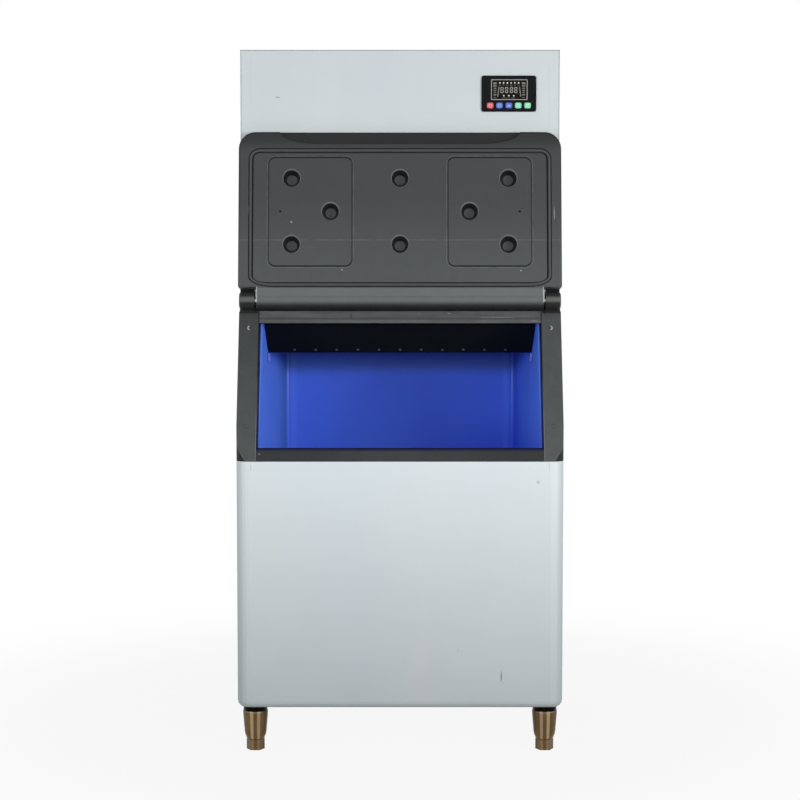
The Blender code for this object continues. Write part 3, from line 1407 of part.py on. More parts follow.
def make_gear_motor():
    x = DRUM_X
    y = depth(DRUM_DEPTH)
    radius = GEAR_RADIUS
    low = HEAD_FLOOR
    wide = radius + GEAR_FLANGE_REACH
    flange_low = (x - wide, y - wide, low)
    flange_high = (x + wide, y + wide, low + GEAR_FLANGE)
    gear = box("gear_motor", flange_low, flange_high, BARE_STEEL)
    case = cylinder("gear_case", (x, y, low + GEAR_FLANGE / 2), (x, y, low + GEAR_HEIGHT), radius)
    join(gear, case)
    socket_low = (x, y, low + GEAR_HEIGHT - GEAR_SOCKET_DEPTH)
    socket_high = (x, y, DRUM_BOTTOM + CUT_REACH)
    socket = cylinder("gear_socket", socket_low, socket_high, AUGER_STUB_RADIUS + SEAM, cutter=True)
    return cut(gear, socket)


def spout_height():
    return DRUM_BOTTOM + DRUM_HEIGHT - SPOUT_HEIGHT / 2 - SPOUT_FROM_TOP


def make_drum():
    """The freezing cylinder with the spout that leads the ice to the chute."""
    x = DRUM_X
    y = depth(DRUM_DEPTH)
    top = DRUM_BOTTOM + DRUM_HEIGHT
    profile = [(DRUM_BORE, top), (DRUM_RADIUS, top), (DRUM_RADIUS, DRUM_BOTTOM), (DRUM_BORE, DRUM_BOTTOM)]
    drum = turned("evaporator_drum", profile, BARE_STEEL, at=(x, y, 0.0))
    chute_side = CHUTE_RADIUS - CHUTE_WALL - SEAM
    half = SPOUT_HALF_WIDTH
    z = spout_height()
    low = (x + (DRUM_BORE + DRUM_RADIUS) / 2, y - half, z - SPOUT_HEIGHT / 2)
    spout = box("drum_spout", low, (-chute_side * SPOUT_REACH_SHARE, y + half, z + SPOUT_HEIGHT / 2))
    wall = SPOUT_WALL
    hole_low = (x + DRUM_BORE * SPOUT_ROOT_SHARE, y - half + wall, z - SPOUT_HEIGHT / 2 + wall)
    hole_high = (0.0, y + half - wall, z + SPOUT_HEIGHT / 2 - wall)
    join(drum, spout)
    return cut(drum, box("drum_spout_hole", hole_low, hole_high, cutter=True))


def make_auger():
    """The screw that scrapes the ice up: a shaft, its stub in the gear case and one helical flight."""
    low = DRUM_BOTTOM + AUGER_FLOOR_GAP
    top = DRUM_BOTTOM + DRUM_HEIGHT - AUGER_TOP_GAP
    stub = DRUM_BOTTOM - AUGER_STUB_REACH
    profile = [(0.0, top), (AUGER_SHAFT_RADIUS, top), (AUGER_SHAFT_RADIUS, low)]
    profile += [(AUGER_STUB_RADIUS, low), (AUGER_STUB_RADIUS, stub), (0.0, stub)]
    at = (DRUM_X, depth(DRUM_DEPTH), 0.0)
    auger = turned("auger", profile, BARE_STEEL, at=at)
    bm = bmesh.new()
    start = low + AUGER_FLIGHT_START
    inner = bm.verts.new((AUGER_SHAFT_RADIUS - AUGER_FLIGHT_SINK, 0.0, start))
    outer = bm.verts.new((AUGER_RADIUS, 0.0, start))
    bm.edges.new((inner, outer))
    flight = place("auger_flight", to_mesh("auger_flight", bm), None)
    screw = flight.modifiers.new("helix", "SCREW")
    screw.angle = 2 * math.pi * AUGER_TURNS
    screw.screw_offset = AUGER_PITCH * AUGER_TURNS
    screw.steps = int(AUGER_STEPS_A_TURN * AUGER_TURNS)
    screw.render_steps = screw.steps
    skin = flight.modifiers.new("skin", "SOLIDIFY")
    skin.thickness = AUGER_FLIGHT
    skin.offset = 0.0
    flight.location = at
    return join(auger, flight)


def make_chute():
    """The tube from the drum's spout down through the deck into the bin."""
    hollow = CHUTE_RADIUS - CHUTE_WALL
    top = spout_height() + SPOUT_HEIGHT / 2 + CHUTE_ABOVE_SPOUT
    bottom = LINER_CEILING - CHUTE_DROP
    flange = CHUTE_HOLE_RADIUS + CHUTE_FLANGE
    profile = [
        (hollow, top),
        (CHUTE_RADIUS, top),
        (CHUTE_RADIUS, HEAD_FLOOR + CHUTE_WALL),
        (flange, HEAD_FLOOR + CHUTE_WALL),
        (flange, HEAD_FLOOR),
        (CHUTE_RADIUS, HEAD_FLOOR),
        (CHUTE_RADIUS, bottom),
        (hollow, bottom),
    ]
    chute = turned("ice_chute", profile, WHITE_PLASTIC, at=(0.0, CHUTE_Y, 0.0))
    half = SPOUT_HALF_WIDTH + SEAM
    z = spout_height()
    low = (-2 * CHUTE_RADIUS, CHUTE_Y - half, z - SPOUT_HEIGHT / 2 - SEAM)
    window = box("chute_window", low, (0.0, CHUTE_Y + half, z + SPOUT_HEIGHT / 2 + SEAM), cutter=True)
    return cut(chute, window)


def float_pin():
    """Where the float's pin crosses the tank."""
    y = depth(TANK_DEPTH) + TANK_LENGTH / 2 - FLOAT_PIN_INSET
    return (TANK_X, y, HEAD_FLOOR + TANK_HEIGHT - FLOAT_PIN_INSET)


def make_tank():
    """The open water tank, with the float's pin across it."""
    x = TANK_X
    y = depth(TANK_DEPTH)
    half_x = TANK_WIDTH / 2
    half_y = TANK_LENGTH / 2
    top = HEAD_FLOOR + TANK_HEIGHT
    outer_low = (x - half_x, y - half_y, HEAD_FLOOR)
    outer_high = (x + half_x, y + half_y, top)
    tank = box("water_tank", outer_low, outer_high, WHITE_PLASTIC)
    wall = TANK_WALL
    low = (x - half_x + wall, y - half_y + wall, HEAD_FLOOR + wall)
    high = (x + half_x - wall, y + half_y - wall, top + wall)
    cut(tank, box("tank_hollow", low, high, cutter=True))
    pin_x, pin_y, pin_z = float_pin()
    start = (pin_x - half_x + wall / 2, pin_y, pin_z)
    end = (pin_x + half_x - wall / 2, pin_y, pin_z)
    return join(tank, cylinder("float_pin", start, end, FLOAT_PIN_RADIUS, facets=12))


def make_float():
    """The lever on the tank's pin, with its float at the other end."""
    arm = turned(
        "float_arm",
        [
            (FLOAT_PIN_RADIUS + FLOAT_PIN_CLEARANCE, FLOAT_HUB_HALF_LENGTH),
            (FLOAT_HUB_RADIUS, FLOAT_HUB_HALF_LENGTH),
            (FLOAT_HUB_RADIUS, -FLOAT_HUB_HALF_LENGTH),
            (FLOAT_PIN_RADIUS + FLOAT_PIN_CLEARANCE, -FLOAT_HUB_HALF_LENGTH),
        ],
        WHITE_PLASTIC,
        facets=16,
    )
    rod_start = (0, -(FLOAT_PIN_RADIUS + FLOAT_HUB_RADIUS) / 2 - FLOAT_ROD_SINK, 0)
    rod = cylinder("float_rod", rod_start, (0, -FLOAT_REACH, 0), FLOAT_ROD_RADIUS, facets=8)
    ball_low = (-FLOAT_RADIUS, -FLOAT_REACH - FLOAT_RADIUS, -FLOAT_RADIUS)
    ball_high = (FLOAT_RADIUS, -FLOAT_REACH + FLOAT_RADIUS, FLOAT_RADIUS)
    ball = box("float_ball", ball_low, ball_high)
    spin = Matrix.Rotation(math.pi / 2, 4, "Y").inverted()
    for other in (rod, ball):
        other.data.transform(spin)
        other.parent = arm
        join(arm, other)
    arm.location = float_pin()
    hang = Matrix.Rotation(FLOAT_DROP, 4, "X") @ Matrix.Rotation(math.pi / 2, 4, "Y")
    arm.rotation_euler = hang.to_euler()
    return arm


def make_inlet():
    """The water inlet: a nut inside, the threaded end through the back panel and a flange outside it."""
    inner = BACK - SHEET - INLET_LENGTH
    outer = BACK + BACK_FITTING_REACH
    x = INLET_X
    z = FITTING_Z
    inlet = cylinder("water_inlet", (x, inner, z), (x, outer, z), INLET_RADIUS, BARE_STEEL)
    nut_end = BACK - SHEET - SEAM
    nut_start = (x, nut_end - NUT_LENGTH, z)
    nut = cylinder("inlet_nut", nut_start, (x, nut_end, z), INLET_RADIUS * NUT_SHARE, facets=6)
    join(inlet, nut)
    bore_start = (x, inner - CUT_REACH, z)
    bore = cylinder("inlet_bore", bore_start, (x, outer + CUT_REACH, z), INLET_BORE, cutter=True)
    return cut(inlet, bore)


def make_gland():
    """The gland for the supply cord."""
    x = GLAND_X
    z = FITTING_Z
    inner = BACK - SHEET - GLAND_INSIDE
    outer = BACK + GLAND_OUTSIDE
    gland = cylinder("cable_gland", (x, inner, z), (x, outer, z), GLAND_RADIUS, BLACK_PLASTIC)
    nut_end = BACK - SHEET - SEAM
    nut_start = (x, nut_end - GLAND_NUT_LENGTH, z)
    join(gland, cylinder("gland_nut", nut_start, (x, nut_end, z), GLAND_RADIUS * GLAND_NUT_SHARE, facets=6))
    bore_start = (x, inner - CUT_REACH, z)
    bore_end = (x, outer + CUT_REACH, z)
    bore = cylinder("gland_bore", bore_start, bore_end, GLAND_BORE, facets=12, cutter=True)
    return cut(gland, bore)


def rocker_axis():
    return (SWITCH_X, BACK - SWITCH_RIM, FITTING_Z)


def make_switch():
    """The switch's body behind the panel and its rim outside it, hollow for the rocker."""
    x = SWITCH_X
    z = FITTING_Z
    half_x = SWITCH_WIDTH / 2
    half_z = SWITCH_HEIGHT / 2
    rim = SWITCH_RIM
    low = (x - half_x, BACK - SHEET - SWITCH_BODY_DEPTH, z - half_z)
    body = box("power_switch", low, (x + half_x, BACK + rim, z + half_z), BLACK_PLASTIC)
    rim_low = (x - half_x - rim, BACK + SEAM, z - half_z - rim)
    rim_high = (x + half_x + rim, BACK + rim, z + half_z + rim)
    join(body, box("switch_rim", rim_low, rim_high))
    hollow_low = (x - half_x + rim, BACK - SWITCH_HOLLOW_DEPTH, z - half_z + rim)
    hollow_high = (x + half_x - rim, BACK + 2 * rim, z + half_z - rim)
    cut(body, box("switch_hollow", hollow_low, hollow_high, cutter=True))
    axis = rocker_axis()
    start = (axis[0] - half_x + rim / 2, axis[1], axis[2])
    end = (axis[0] + half_x - rim / 2, axis[1], axis[2])
    return join(body, cylinder("switch_pin", start, end, FLOAT_PIN_RADIUS, facets=12))


def make_rocker():
    """The rocker, thrown to its upper end, on the switch's pin."""
    half_x = SWITCH_WIDTH / 2 - SWITCH_RIM - ROCKER_CLEARANCE
    half_z = SWITCH_HEIGHT / 2 - SWITCH_RIM - 3 * ROCKER_CLEARANCE
    proud = SWITCH_RIM * 2 + ROCKER_PROUD
    centre = ROCKER_CENTRE_SHARE * proud
    back_half = half_z * ROCKER_BACK_SHARE
    outline = [(-ROCKER_BACK, -back_half), (-ROCKER_BACK, back_half), (centre, half_z), (proud, half_z)]
    outline += [(centre + ROCKER_DISH, 0.0), (proud, -half_z), (centre, -half_z)]
    rocker = plate("switch_rocker", "YZ", [outline], -half_x, half_x, RED)
    bore_radius = FLOAT_PIN_RADIUS + FLOAT_PIN_CLEARANCE
    bore_start = (-SWITCH_WIDTH, 0, 0)
    bore = cylinder("rocker_bore", bore_start, (SWITCH_WIDTH, 0, 0), bore_radius, facets=12, cutter=True)
    bore.parent = rocker
    cut(rocker, bore)
    rocker.location = rocker_axis()
    rocker.rotation_euler.x = ROCKER_TILT
    return rocker


def bend(points, radius=TUBE_BEND_RADIUS, steps=4):
    """A path through these corners, each rounded by a short arc."""
    path = [Vector(points[0])]
    for before, corner, after in zip(points, points[1:], points[2:]):
        corner = Vector(corner)
        enter = corner + (Vector(before) - corner).normalized() * radius
        leave = corner + (Vector(after) - corner).normalized() * radius
        for step in range(steps + 1):
            share = step / steps
            path.append(enter.lerp(corner, share).lerp(corner.lerp(leave, share), share))
    path.append(Vector(points[-1]))
    return path


def tube_places():
    """The middle of the compressor's can, and heights its tubes use."""
    y = depth(COMPRESSOR_DEPTH)
    low = HEAD_FLOOR + COMPRESSOR_FOOT
    return y, low + COMPRESSOR_PORT_HEIGHT, HEAD_TOP - TUBE_FROM_TOP


def make_discharge_tube():
    """From the compressor's side up and over to the top of the condenser."""
    y, port, high = tube_places()
    x = COMPRESSOR_X + COMPRESSOR_RADIUS + TUBE_RADIUS + SEAM
    coil_top = FAN_Z + CONDENSER_HEIGHT / 2 + SEAM
    end_y = (CONDENSER_FRONT + CONDENSER_BACK) / 2
    end_x = FAN_X + CONDENSER_WIDTH / 2 - 2 * TUBE_RADIUS
    points = [(x, y, port), (x, y, high), (x, end_y, high), (end_x, end_y, high), (end_x, end_y, coil_top)]
    return wire("discharge_tube", bend(points), TUBE_RADIUS, COPPER)


def make_drier():
    """The filter drier, standing on the floor beside the compressor."""
    low = HEAD_FLOOR
    top = low + DRIER_LENGTH
    profile = [
        (0.0, top),
        (TUBE_RADIUS, top),
        (DRIER_RADIUS, top - DRIER_CONE),
        (DRIER_RADIUS, low),
        (0.0, low),
    ]
    return turned("filter_drier", profile, COPPER, at=(DRIER_X, depth(DRIER_DEPTH), 0.0), facets=16)


def make_liquid_tube():
    """From the drier up and across to the side of the freezing cylinder."""
    x = DRIER_X
    y = depth(DRIER_DEPTH)
    start = HEAD_FLOOR + DRIER_LENGTH + SEAM
    drum_y = depth(DRUM_DEPTH) + DRUM_RADIUS + TUBE_RADIUS + SEAM
    high = DRUM_BOTTOM + DRUM_HEIGHT / 2
    low = DRUM_BOTTOM + DRUM_HEIGHT / 5
    behind = depth(DRUM_DEPTH) + DRUM_RADIUS + TUBE_BEHIND_DRUM
    points = [(x, y, start), (x, y, high), (x, behind, high), (DRUM_X, behind, high), (DRUM_X, drum_y, low)]
    return wire("liquid_tube", bend(points), TUBE_RADIUS, COPPER)


def main():
    clear_scene()
    make_bin_wrap()
    make_back_panel()
    make_base_pan()
    make_top_deck()
    make_foam()
    make_ice_liner()
    make_header()
    make_sill()
    make_baffle()
    door = make_door()
    make_gasket(door)
    for side_name, sign in (("left", -1), ("right", 1)):
        make_post(side_name, sign)
        make_hinge_pin(side_name, sign)
        make_bracket(side_name, sign)
        make_bumper(door, side_name, sign)
        make_head_side(side_name, sign)
    for corner, at in leg_places().items():
        make_leg(corner, at)
        make_foot(corner, at)
    make_drain()
    make_head_base()
    make_head_front()
    make_head_back()
    make_top_cover()
    make_fascia()
    make_display()
    for number, middle in enumerate(button_places()):
        make_button(number + 1, middle, (RED, BLUE, BLUE, GREEN, GREEN)[number])
    make_board()
    make_compressor()
    make_condenser()
    make_shroud()
    make_motor()
    make_fan()
    make_gear_motor()
    make_drum()
    make_auger()
    make_chute()
    make_tank()
    make_float()
    make_inlet()
    make_gland()
    make_switch()
    make_rocker()
    make_discharge_tube()
    make_drier()
    make_liquid_tube()


main()
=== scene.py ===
import math

import bmesh
import bpy
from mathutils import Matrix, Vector


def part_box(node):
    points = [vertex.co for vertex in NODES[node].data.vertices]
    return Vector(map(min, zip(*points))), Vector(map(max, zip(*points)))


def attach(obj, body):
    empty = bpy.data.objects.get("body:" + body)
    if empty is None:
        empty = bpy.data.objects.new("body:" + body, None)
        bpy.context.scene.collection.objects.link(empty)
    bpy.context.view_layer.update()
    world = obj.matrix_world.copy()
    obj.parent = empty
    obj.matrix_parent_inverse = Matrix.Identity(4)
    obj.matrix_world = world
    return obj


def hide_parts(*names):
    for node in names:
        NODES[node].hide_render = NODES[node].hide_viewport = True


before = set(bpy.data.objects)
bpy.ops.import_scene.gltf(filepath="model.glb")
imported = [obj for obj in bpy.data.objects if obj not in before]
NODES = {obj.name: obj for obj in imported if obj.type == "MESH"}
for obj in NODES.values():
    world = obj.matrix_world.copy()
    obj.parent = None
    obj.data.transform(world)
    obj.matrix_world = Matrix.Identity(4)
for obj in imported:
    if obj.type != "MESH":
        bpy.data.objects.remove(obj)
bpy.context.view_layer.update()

# Camera of the photograph
CAMERA_PLACE = (0.0, -4.825, 1.138)
CAMERA_PITCH = math.radians(86.0)
CAMERA_LENS = 86.38

# Sizes of the object that the details use, in metres
HINGE_Y = -0.2984
HINGE_Z = 1.056
DOOR_LEAN = math.radians(8.3587)
LINER_FLOOR = 0.175
LEG_X = 0.342
LEG_RING_Z = 0.093
LEG_BOTTOM_Z = 0.0255


class Wire:
    """A value in a finish, a number or a socket, that takes part in ordinary arithmetic."""

    def __init__(self, finish, source):
        self.finish = finish
        self.source = source

    def __add__(self, other):
        return self.finish.maths("ADD", self, other)

    def __radd__(self, other):
        return self.finish.maths("ADD", other, self)

    def __sub__(self, other):
        return self.finish.maths("SUBTRACT", self, other)

    def __rsub__(self, other):
        return self.finish.maths("SUBTRACT", other, self)

    def __mul__(self, other):
        return self.finish.maths("MULTIPLY", self, other)

    def __rmul__(self, other):
        return self.finish.maths("MULTIPLY", other, self)

    def __truediv__(self, other):
        return self.finish.maths("DIVIDE", self, other)

    def __pow__(self, other):
        return self.finish.maths("POWER", self, other)

    def __abs__(self):
        return self.finish.maths("ABSOLUTE", self, 0.0)

    def least(self, other):
        return self.finish.maths("MINIMUM", self, other)

    def most(self, other):
        return self.finish.maths("MAXIMUM", self, other)

    def rise(self, low, high):
        """0 below low, 1 above high, and smooth between them. With low above high it falls."""
        return self.finish.node(
            "ShaderNodeMapRange",
            {"interpolation_type": "SMOOTHSTEP", "clamp": True},
            {"Value": self, "From Min": low, "From Max": high, "To Min": 0.0, "To Max": 1.0},
        )

    def band(self, middle, half, soft):
        """1 within half of middle, and 0 once soft further out."""
        return abs(self - middle).rise(half + soft, half)


class Finish:
    """A material with its node tree, built by node() and closed by surface()."""

    def __init__(self, name):
        self.material = bpy.data.materials.new(name)
        self.material.use_nodes = True
        self.tree = self.material.node_tree
        self.tree.nodes.clear()
        self.object_place = None

    def node(self, kind, settings=None, sockets=None, out=0):
        made = self.tree.nodes.new(kind)
        for name, value in (settings or {}).items():
            if name == "stops":
                self.set_stops(made.color_ramp, value)
            else:
                setattr(made, name, value)
        for name, value in (sockets or {}).items():
            if isinstance(value, Wire):
                self.tree.links.new(value.source, made.inputs[name])
            else:
                made.inputs[name].default_value = value
        return Wire(self, made.outputs[out])

    def set_stops(self, ramp, stops):
        while len(ramp.elements) < len(stops):
            ramp.elements.new(1.0)
        for element, (position, colour) in zip(ramp.elements, stops):
            element.position = position
            element.color = (*colour, 1.0)

    def maths(self, operation, first, second):
        return self.node("ShaderNodeMath", {"operation": operation}, {0: first, 1: second})

    def place(self):
        """The Object coordinates, made once."""
        if self.object_place is None:
            self.object_place = self.node("ShaderNodeTexCoord", out=3)
        return self.object_place

    def axes(self, vector=None):
        whole = vector or self.place()
        split = self.node("ShaderNodeSeparateXYZ", {}, {0: whole})
        sockets = split.source.node.outputs
        return [Wire(self, socket) for socket in sockets]

    def turned(self, middle=(0.0, 0.0, 0.0), turn=(0.0, 0.0, 0.0), scale=(1.0, 1.0, 1.0)):
        """The Object coordinates measured from middle, turned and then stretched."""
        moved = self.node("ShaderNodeVectorMath", {"operation": "SUBTRACT"}, {0: self.place(), 1: middle})
        rotated = self.node("ShaderNodeMapping", {}, {"Vector": moved, "Rotation": turn})
        return self.node("ShaderNodeVectorMath", {"operation": "MULTIPLY"}, {0: rotated, 1: scale})

    def noise(self, scale, detail=3.0, stretch=(1.0, 1.0, 1.0), roughness=0.5, shift=(0.0, 0.0, 0.0)):
        vector = self.turned(middle=shift, scale=stretch)
        sockets = {"Vector": vector, "Scale": scale, "Detail": detail, "Roughness": roughness}
        return self.node("ShaderNodeTexNoise", {}, sockets)

    def cells(self, scale, stretch=(1.0, 1.0, 1.0), feature="F1", shift=(0.0, 0.0, 0.0)):
        """Distance to the nearest of scattered points."""
        vector = self.turned(middle=shift, scale=stretch)
        return self.node("ShaderNodeTexVoronoi", {"feature": feature}, {"Vector": vector, "Scale": scale})

    def mix(self, first, second, share):
        """The colour first, turned into the colour second by share."""
        colours = [c if isinstance(c, Wire) else (*c, 1.0) for c in (first, second)]
        settings = {"data_type": "RGBA", "clamp_factor": True}
        return self.node("ShaderNodeMix", settings, {0: share, 6: colours[0], 7: colours[1]}, out=2)

    def tinted(self, colour, amount):
        """The colour times a number that varies over the surface."""
        colour = colour if isinstance(colour, Wire) else (*colour, 1.0)
        grey = self.node("ShaderNodeCombineColor", {}, {0: amount, 1: amount, 2: amount})
        settings = {"data_type": "RGBA", "blend_type": "MULTIPLY"}
        return self.node("ShaderNodeMix", settings, {0: 1.0, 6: colour, 7: grey}, out=2)

    def bump(self, height, strength, distance, before=None):
        sockets = {"Height": height, "Strength": strength, "Distance": distance}
        if before is not None:
            sockets["Normal"] = before
        return self.node("ShaderNodeBump", {}, sockets)

    def dab(self, middle, reach, wobble=None):
        """1 inside an ellipsoid at middle with half sizes reach, 0 outside, with a soft edge."""
        scale = tuple(1.0 / r for r in reach)
        near = self.turned(middle=middle, scale=scale)
        length = self.node("ShaderNodeVectorMath", {"operation": "LENGTH"}, {0: near}, out=1)
        if wobble is not None:
            length = length + wobble
        return length.rise(1.2, 0.8)

    def surface(self, colour, roughness, metallic=0.0, normal=None, **constants):
        sockets = {"Roughness": roughness, "Metallic": metallic}
        sockets["Base Color"] = colour if isinstance(colour, Wire) else (*colour, 1.0)
        if normal is not None:
            sockets["Normal"] = normal
        sockets.update({name.replace("_", " "): value for name, value in constants.items()})
        return self.close(self.node("ShaderNodeBsdfPrincipled", {}, sockets))

    def close(self, shader):
        output = self.tree.nodes.new("ShaderNodeOutputMaterial")
        self.tree.links.new(shader.source, output.inputs[0])
        return self.material


def pale_steel(name, marks):
    """Satin steel of the outer sheets, with faint tints, fine grain and the marks of handling, and painted
    shade: darker by height, along the head's top and side edges, and in a line along the head's bottom
    edge.
    """
    f = Finish(name)
    x, y, z = f.axes()
    cloud = f.noise(2.2, 3.0, (1.0, 1.0, 0.7))
    streak = f.noise(9.0, 4.0, (1.0, 1.0, 0.10), 0.6)
    grain = f.noise(900.0, 2.0, (0.06, 0.06, 1.0))
    patch = f.noise(14.0, 5.0, roughness=0.65)
    colour = f.mix((0.575, 0.632, 0.668), (0.592, 0.643, 0.655), cloud.rise(0.40, 0.62))
    colour = f.mix(colour, (0.620, 0.648, 0.680), streak.rise(0.52, 0.70) * 0.35)
    # painted shade: darker below 0.7 m and on the head, more so towards its top
    dull = (0.70 - z).most(0.0) * 0.54 + z.rise(1.00, 1.10) * 0.060 + z.rise(1.25, 1.60) * 0.075
    # painted shade: a darker strip along the head's top edge and side edges, on its front
    painted_head_edge_shade = z.rise(1.6468, 1.6482) * 0.24 + abs(x).rise(0.3762, 0.3780) * z.rise(1.03, 1.05) * 0.16
    painted_head_edge_shade = painted_head_edge_shade * y.rise(-0.2138, -0.2146)
    colour = f.tinted(colour, 0.885 + patch * 0.05 - dull - painted_head_edge_shade)
    # painted shadow: a dark line along the bottom edge of the head
    colour = f.mix(colour, (0.020, 0.022, 0.024), z.band(1.0345, 0.0020, 0.0006))
    patchy = 0.0
    for middle, reach, strength in marks:
        wobble = (f.noise(160.0, 2.0) - 0.5) * 0.8
        patchy = f.dab(middle, reach, wobble) * strength + patchy
    colour = f.mix(colour, (0.10, 0.11, 0.12), patchy)
    roughness = 0.46 + patch * 0.10 + grain * 0.06
    normal = f.bump(grain, 0.05, 0.0004, f.bump(cloud, 0.12, 0.004))
    return f.surface(colour, roughness, 0.10, normal, Specular_IOR_Level=0.3)


def plain_steel(name, colour=(0.56, 0.57, 0.58), roughness=0.34, grain_way=(1.0, 1.0, 0.04)):
    """Bare sheet or turned steel, with rolling grain and dull patches."""
    f = Finish(name)
    grain = f.noise(420.0, 3.0, grain_way)
    dull = f.noise(18.0, 4.0)
    tone = f.tinted(colour, 0.90 + grain * 0.10 + dull * 0.10)
    normal = f.bump(grain, 0.10, 0.0003)
    return f.surface(tone, roughness + dull * 0.16, 1.0, normal)


def galvanised(name):
    """Zinc-coated sheet with its spangle."""
    f = Finish(name)
    spangle = f.cells(150.0, stretch=(1.0, 1.0, 0.8))
    flake = f.node("ShaderNodeSeparateColor", {}, {0: Wire(f, spangle.source.node.outputs[1])})
    haze = f.noise(7.0, 4.0)
    tone = f.tinted((0.55, 0.57, 0.58), 0.88 + flake * 0.08 + haze * 0.10)
    return f.surface(tone, 0.38 + flake * 0.14, 0.85, f.bump(haze, 0.10, 0.002))


def moulded_black(name, colour, roughness=0.46, texture=0.12, gloss=0.2):
    """Moulded black plastic with a fine cast skin and dust in it."""
    f = Finish(name)
    skin = f.noise(1100.0, 2.0)
    mottle = f.noise(46.0, 5.0, roughness=0.7)
    cloud = f.noise(5.0, 3.0)
    tone = f.tinted(colour, 0.80 + mottle * 0.24 + cloud * 0.16)
    speck = f.cells(120.0, shift=(0.37, 0.11, 0.53)).rise(0.055, 0.02)
    tone = f.mix(tone, (0.30, 0.31, 0.31), speck * 0.5)
    normal = f.bump(skin, texture, 0.0004, f.bump(mottle, 0.06, 0.001))
    return f.surface(tone, roughness + mottle * 0.14, 0.0, normal, Specular_IOR_Level=gloss)


def grown_paint(name, colour, roughness=0.4, metallic=0.0, scale=60.0, depth=0.05):
    """Paint or plastic of one colour with a soft orange-peel skin and slight unevenness."""
    f = Finish(name)
    peel = f.noise(scale * 6.0, 2.0)
    uneven = f.noise(scale * 0.4, 4.0)
    tone = f.tinted(colour, 0.90 + uneven * 0.20)
    return f.surface(tone, roughness + uneven * 0.08, metallic, f.bump(peel, depth, 0.0004))


def liner_blue(name):
    """Blue moulded liner: satin, with painted light and shade: a painted highlight line in each back
    corner, a painted sheen band on the far part of the left wall, walls lighter near the mouth, a dark
    strip of painted shade along the mouth's sides, the baffle's painted shadow and painted shade low on
    the right.
    """
    f = Finish(name)
    x, y, z = f.axes()
    ripple = f.noise(5.0, 2.0, (1.0, 1.0, 0.4))
    rub = f.noise(30.0, 4.0, (1.0, 1.0, 0.5))
    drift = (f.noise(3.0, 2.0, (0.0, 0.0, 1.0)) - 0.5) * 0.06
    tone = f.mix((0.072, 0.192, 0.950), (0.080, 0.212, 0.980), ripple.rise(0.35, 0.65))
    # painted sheen: a teal band on the far part of the left wall, next to the back corner
    painted_sheen_band = abs(x).rise(0.3028, 0.3050) * (y + drift).rise(-0.10, 0.02) * x.rise(0.1, -0.1)
    tone = f.mix(tone, (0.110, 0.265, 0.580), painted_sheen_band * 0.75)
    # painted light: the side walls lighter near the mouth, more on the left
    painted_light_near_mouth = abs(x).rise(0.3085, 0.3160)
    tone = f.mix(tone, (0.118, 0.262, 0.980), painted_light_near_mouth * (x.rise(0.1, -0.1) * 0.3 + 0.6))
    # painted highlight: a pale line down each back corner, stronger higher up
    corner = abs(x).band(0.3010, 0.0010, 0.0016) * y.rise(0.300, 0.320) * (z.rise(0.70, 0.92) * 0.7 + 0.25)
    tone = f.mix(tone, (0.420, 0.520, 0.980), corner)
    # painted shade: a dark strip down the sides of the mouth, next to the posts
    tone = f.mix(tone, (0.020, 0.040, 0.240), abs(x).rise(0.3309, 0.3316) * y.rise(-0.10, -0.13))
    shade = (z + y * 0.235).rise(0.918, 0.956) * y.rise(-0.12, -0.04)
    tone = f.mix(tone, (0.032, 0.092, 0.340), shade * 0.75)
    # painted shade: the walls darker lower down, more on the right
    low = z.rise(0.78, 0.60)
    tone = f.mix(tone, (0.040, 0.090, 0.720), low * x.rise(-0.1, 0.3) * 0.8)
    tone = f.mix(tone, (0.065, 0.140, 0.82), rub.rise(0.50, 0.70) * z.rise(0.6, LINER_FLOOR) * 0.4)
    roughness = 0.40 + rub * 0.10
    return f.surface(tone, roughness, 0.0, f.bump(ripple, 0.12, 0.004), Specular_IOR_Level=0.2)


def leg_bronze(name):
    """Turned and lacquered leg metal, brown, with painted highlights of two bright streaks down it and a
    bright line on the ring's top edge, painted shade towards its sides, and a painted shadow on the neck
    over the ring.
    """
    f = Finish(name)
    x, _, z = f.axes()
    lines = f.noise(900.0, 2.0, (0.05, 0.05, 1.0))
    stain = f.noise(60.0, 4.0, (1.0, 1.0, 0.4))
    tone = f.mix((0.112, 0.067, 0.026), (0.142, 0.090, 0.040), stain.rise(0.35, 0.65))
    across = (abs(x) - LEG_X) / (z * 0.055 + 0.0240)
    # painted highlight: two bright streaks down the leg, dimmer on the foot
    streak = across.band(-0.36, 0.05, 0.13) * 0.8 + across.band(0.22, 0.05, 0.15)
    streak = streak.least(1.0) * (z.rise(0.0255, 0.0290) * 0.6 + 0.4)
    tone = f.mix(tone, (0.350, 0.255, 0.158), streak)
    # painted shade: darker towards both sides of the leg
    tone = f.mix(tone, (0.036, 0.024, 0.010), abs(across).rise(0.66, 0.98) * 0.85)
    # painted highlight: a bright line on the ring's top edge, strongest in the streaks
    ring = z.band(LEG_RING_Z - 0.0008, 0.0010, 0.0006) * (streak * 0.7 + abs(across).rise(0.9, 0.4) * 0.3)
    tone = f.mix(tone, (0.620, 0.520, 0.400), ring)
    tone = f.mix(tone, (0.055, 0.036, 0.018), z.band(LEG_BOTTOM_Z, 0.0005, 0.0010) * 0.8)
    # painted shadow: near black on the neck above the ring
    tone = f.mix(tone, (0.004, 0.004, 0.003), z.rise(LEG_RING_Z + 0.0002, LEG_RING_Z + 0.0006))
    tone = f.tinted(tone, 0.88 + lines * 0.16)
    return f.surface(tone, 0.26 + stain * 0.10, 1.0, f.bump(lines, 0.12, 0.0003))


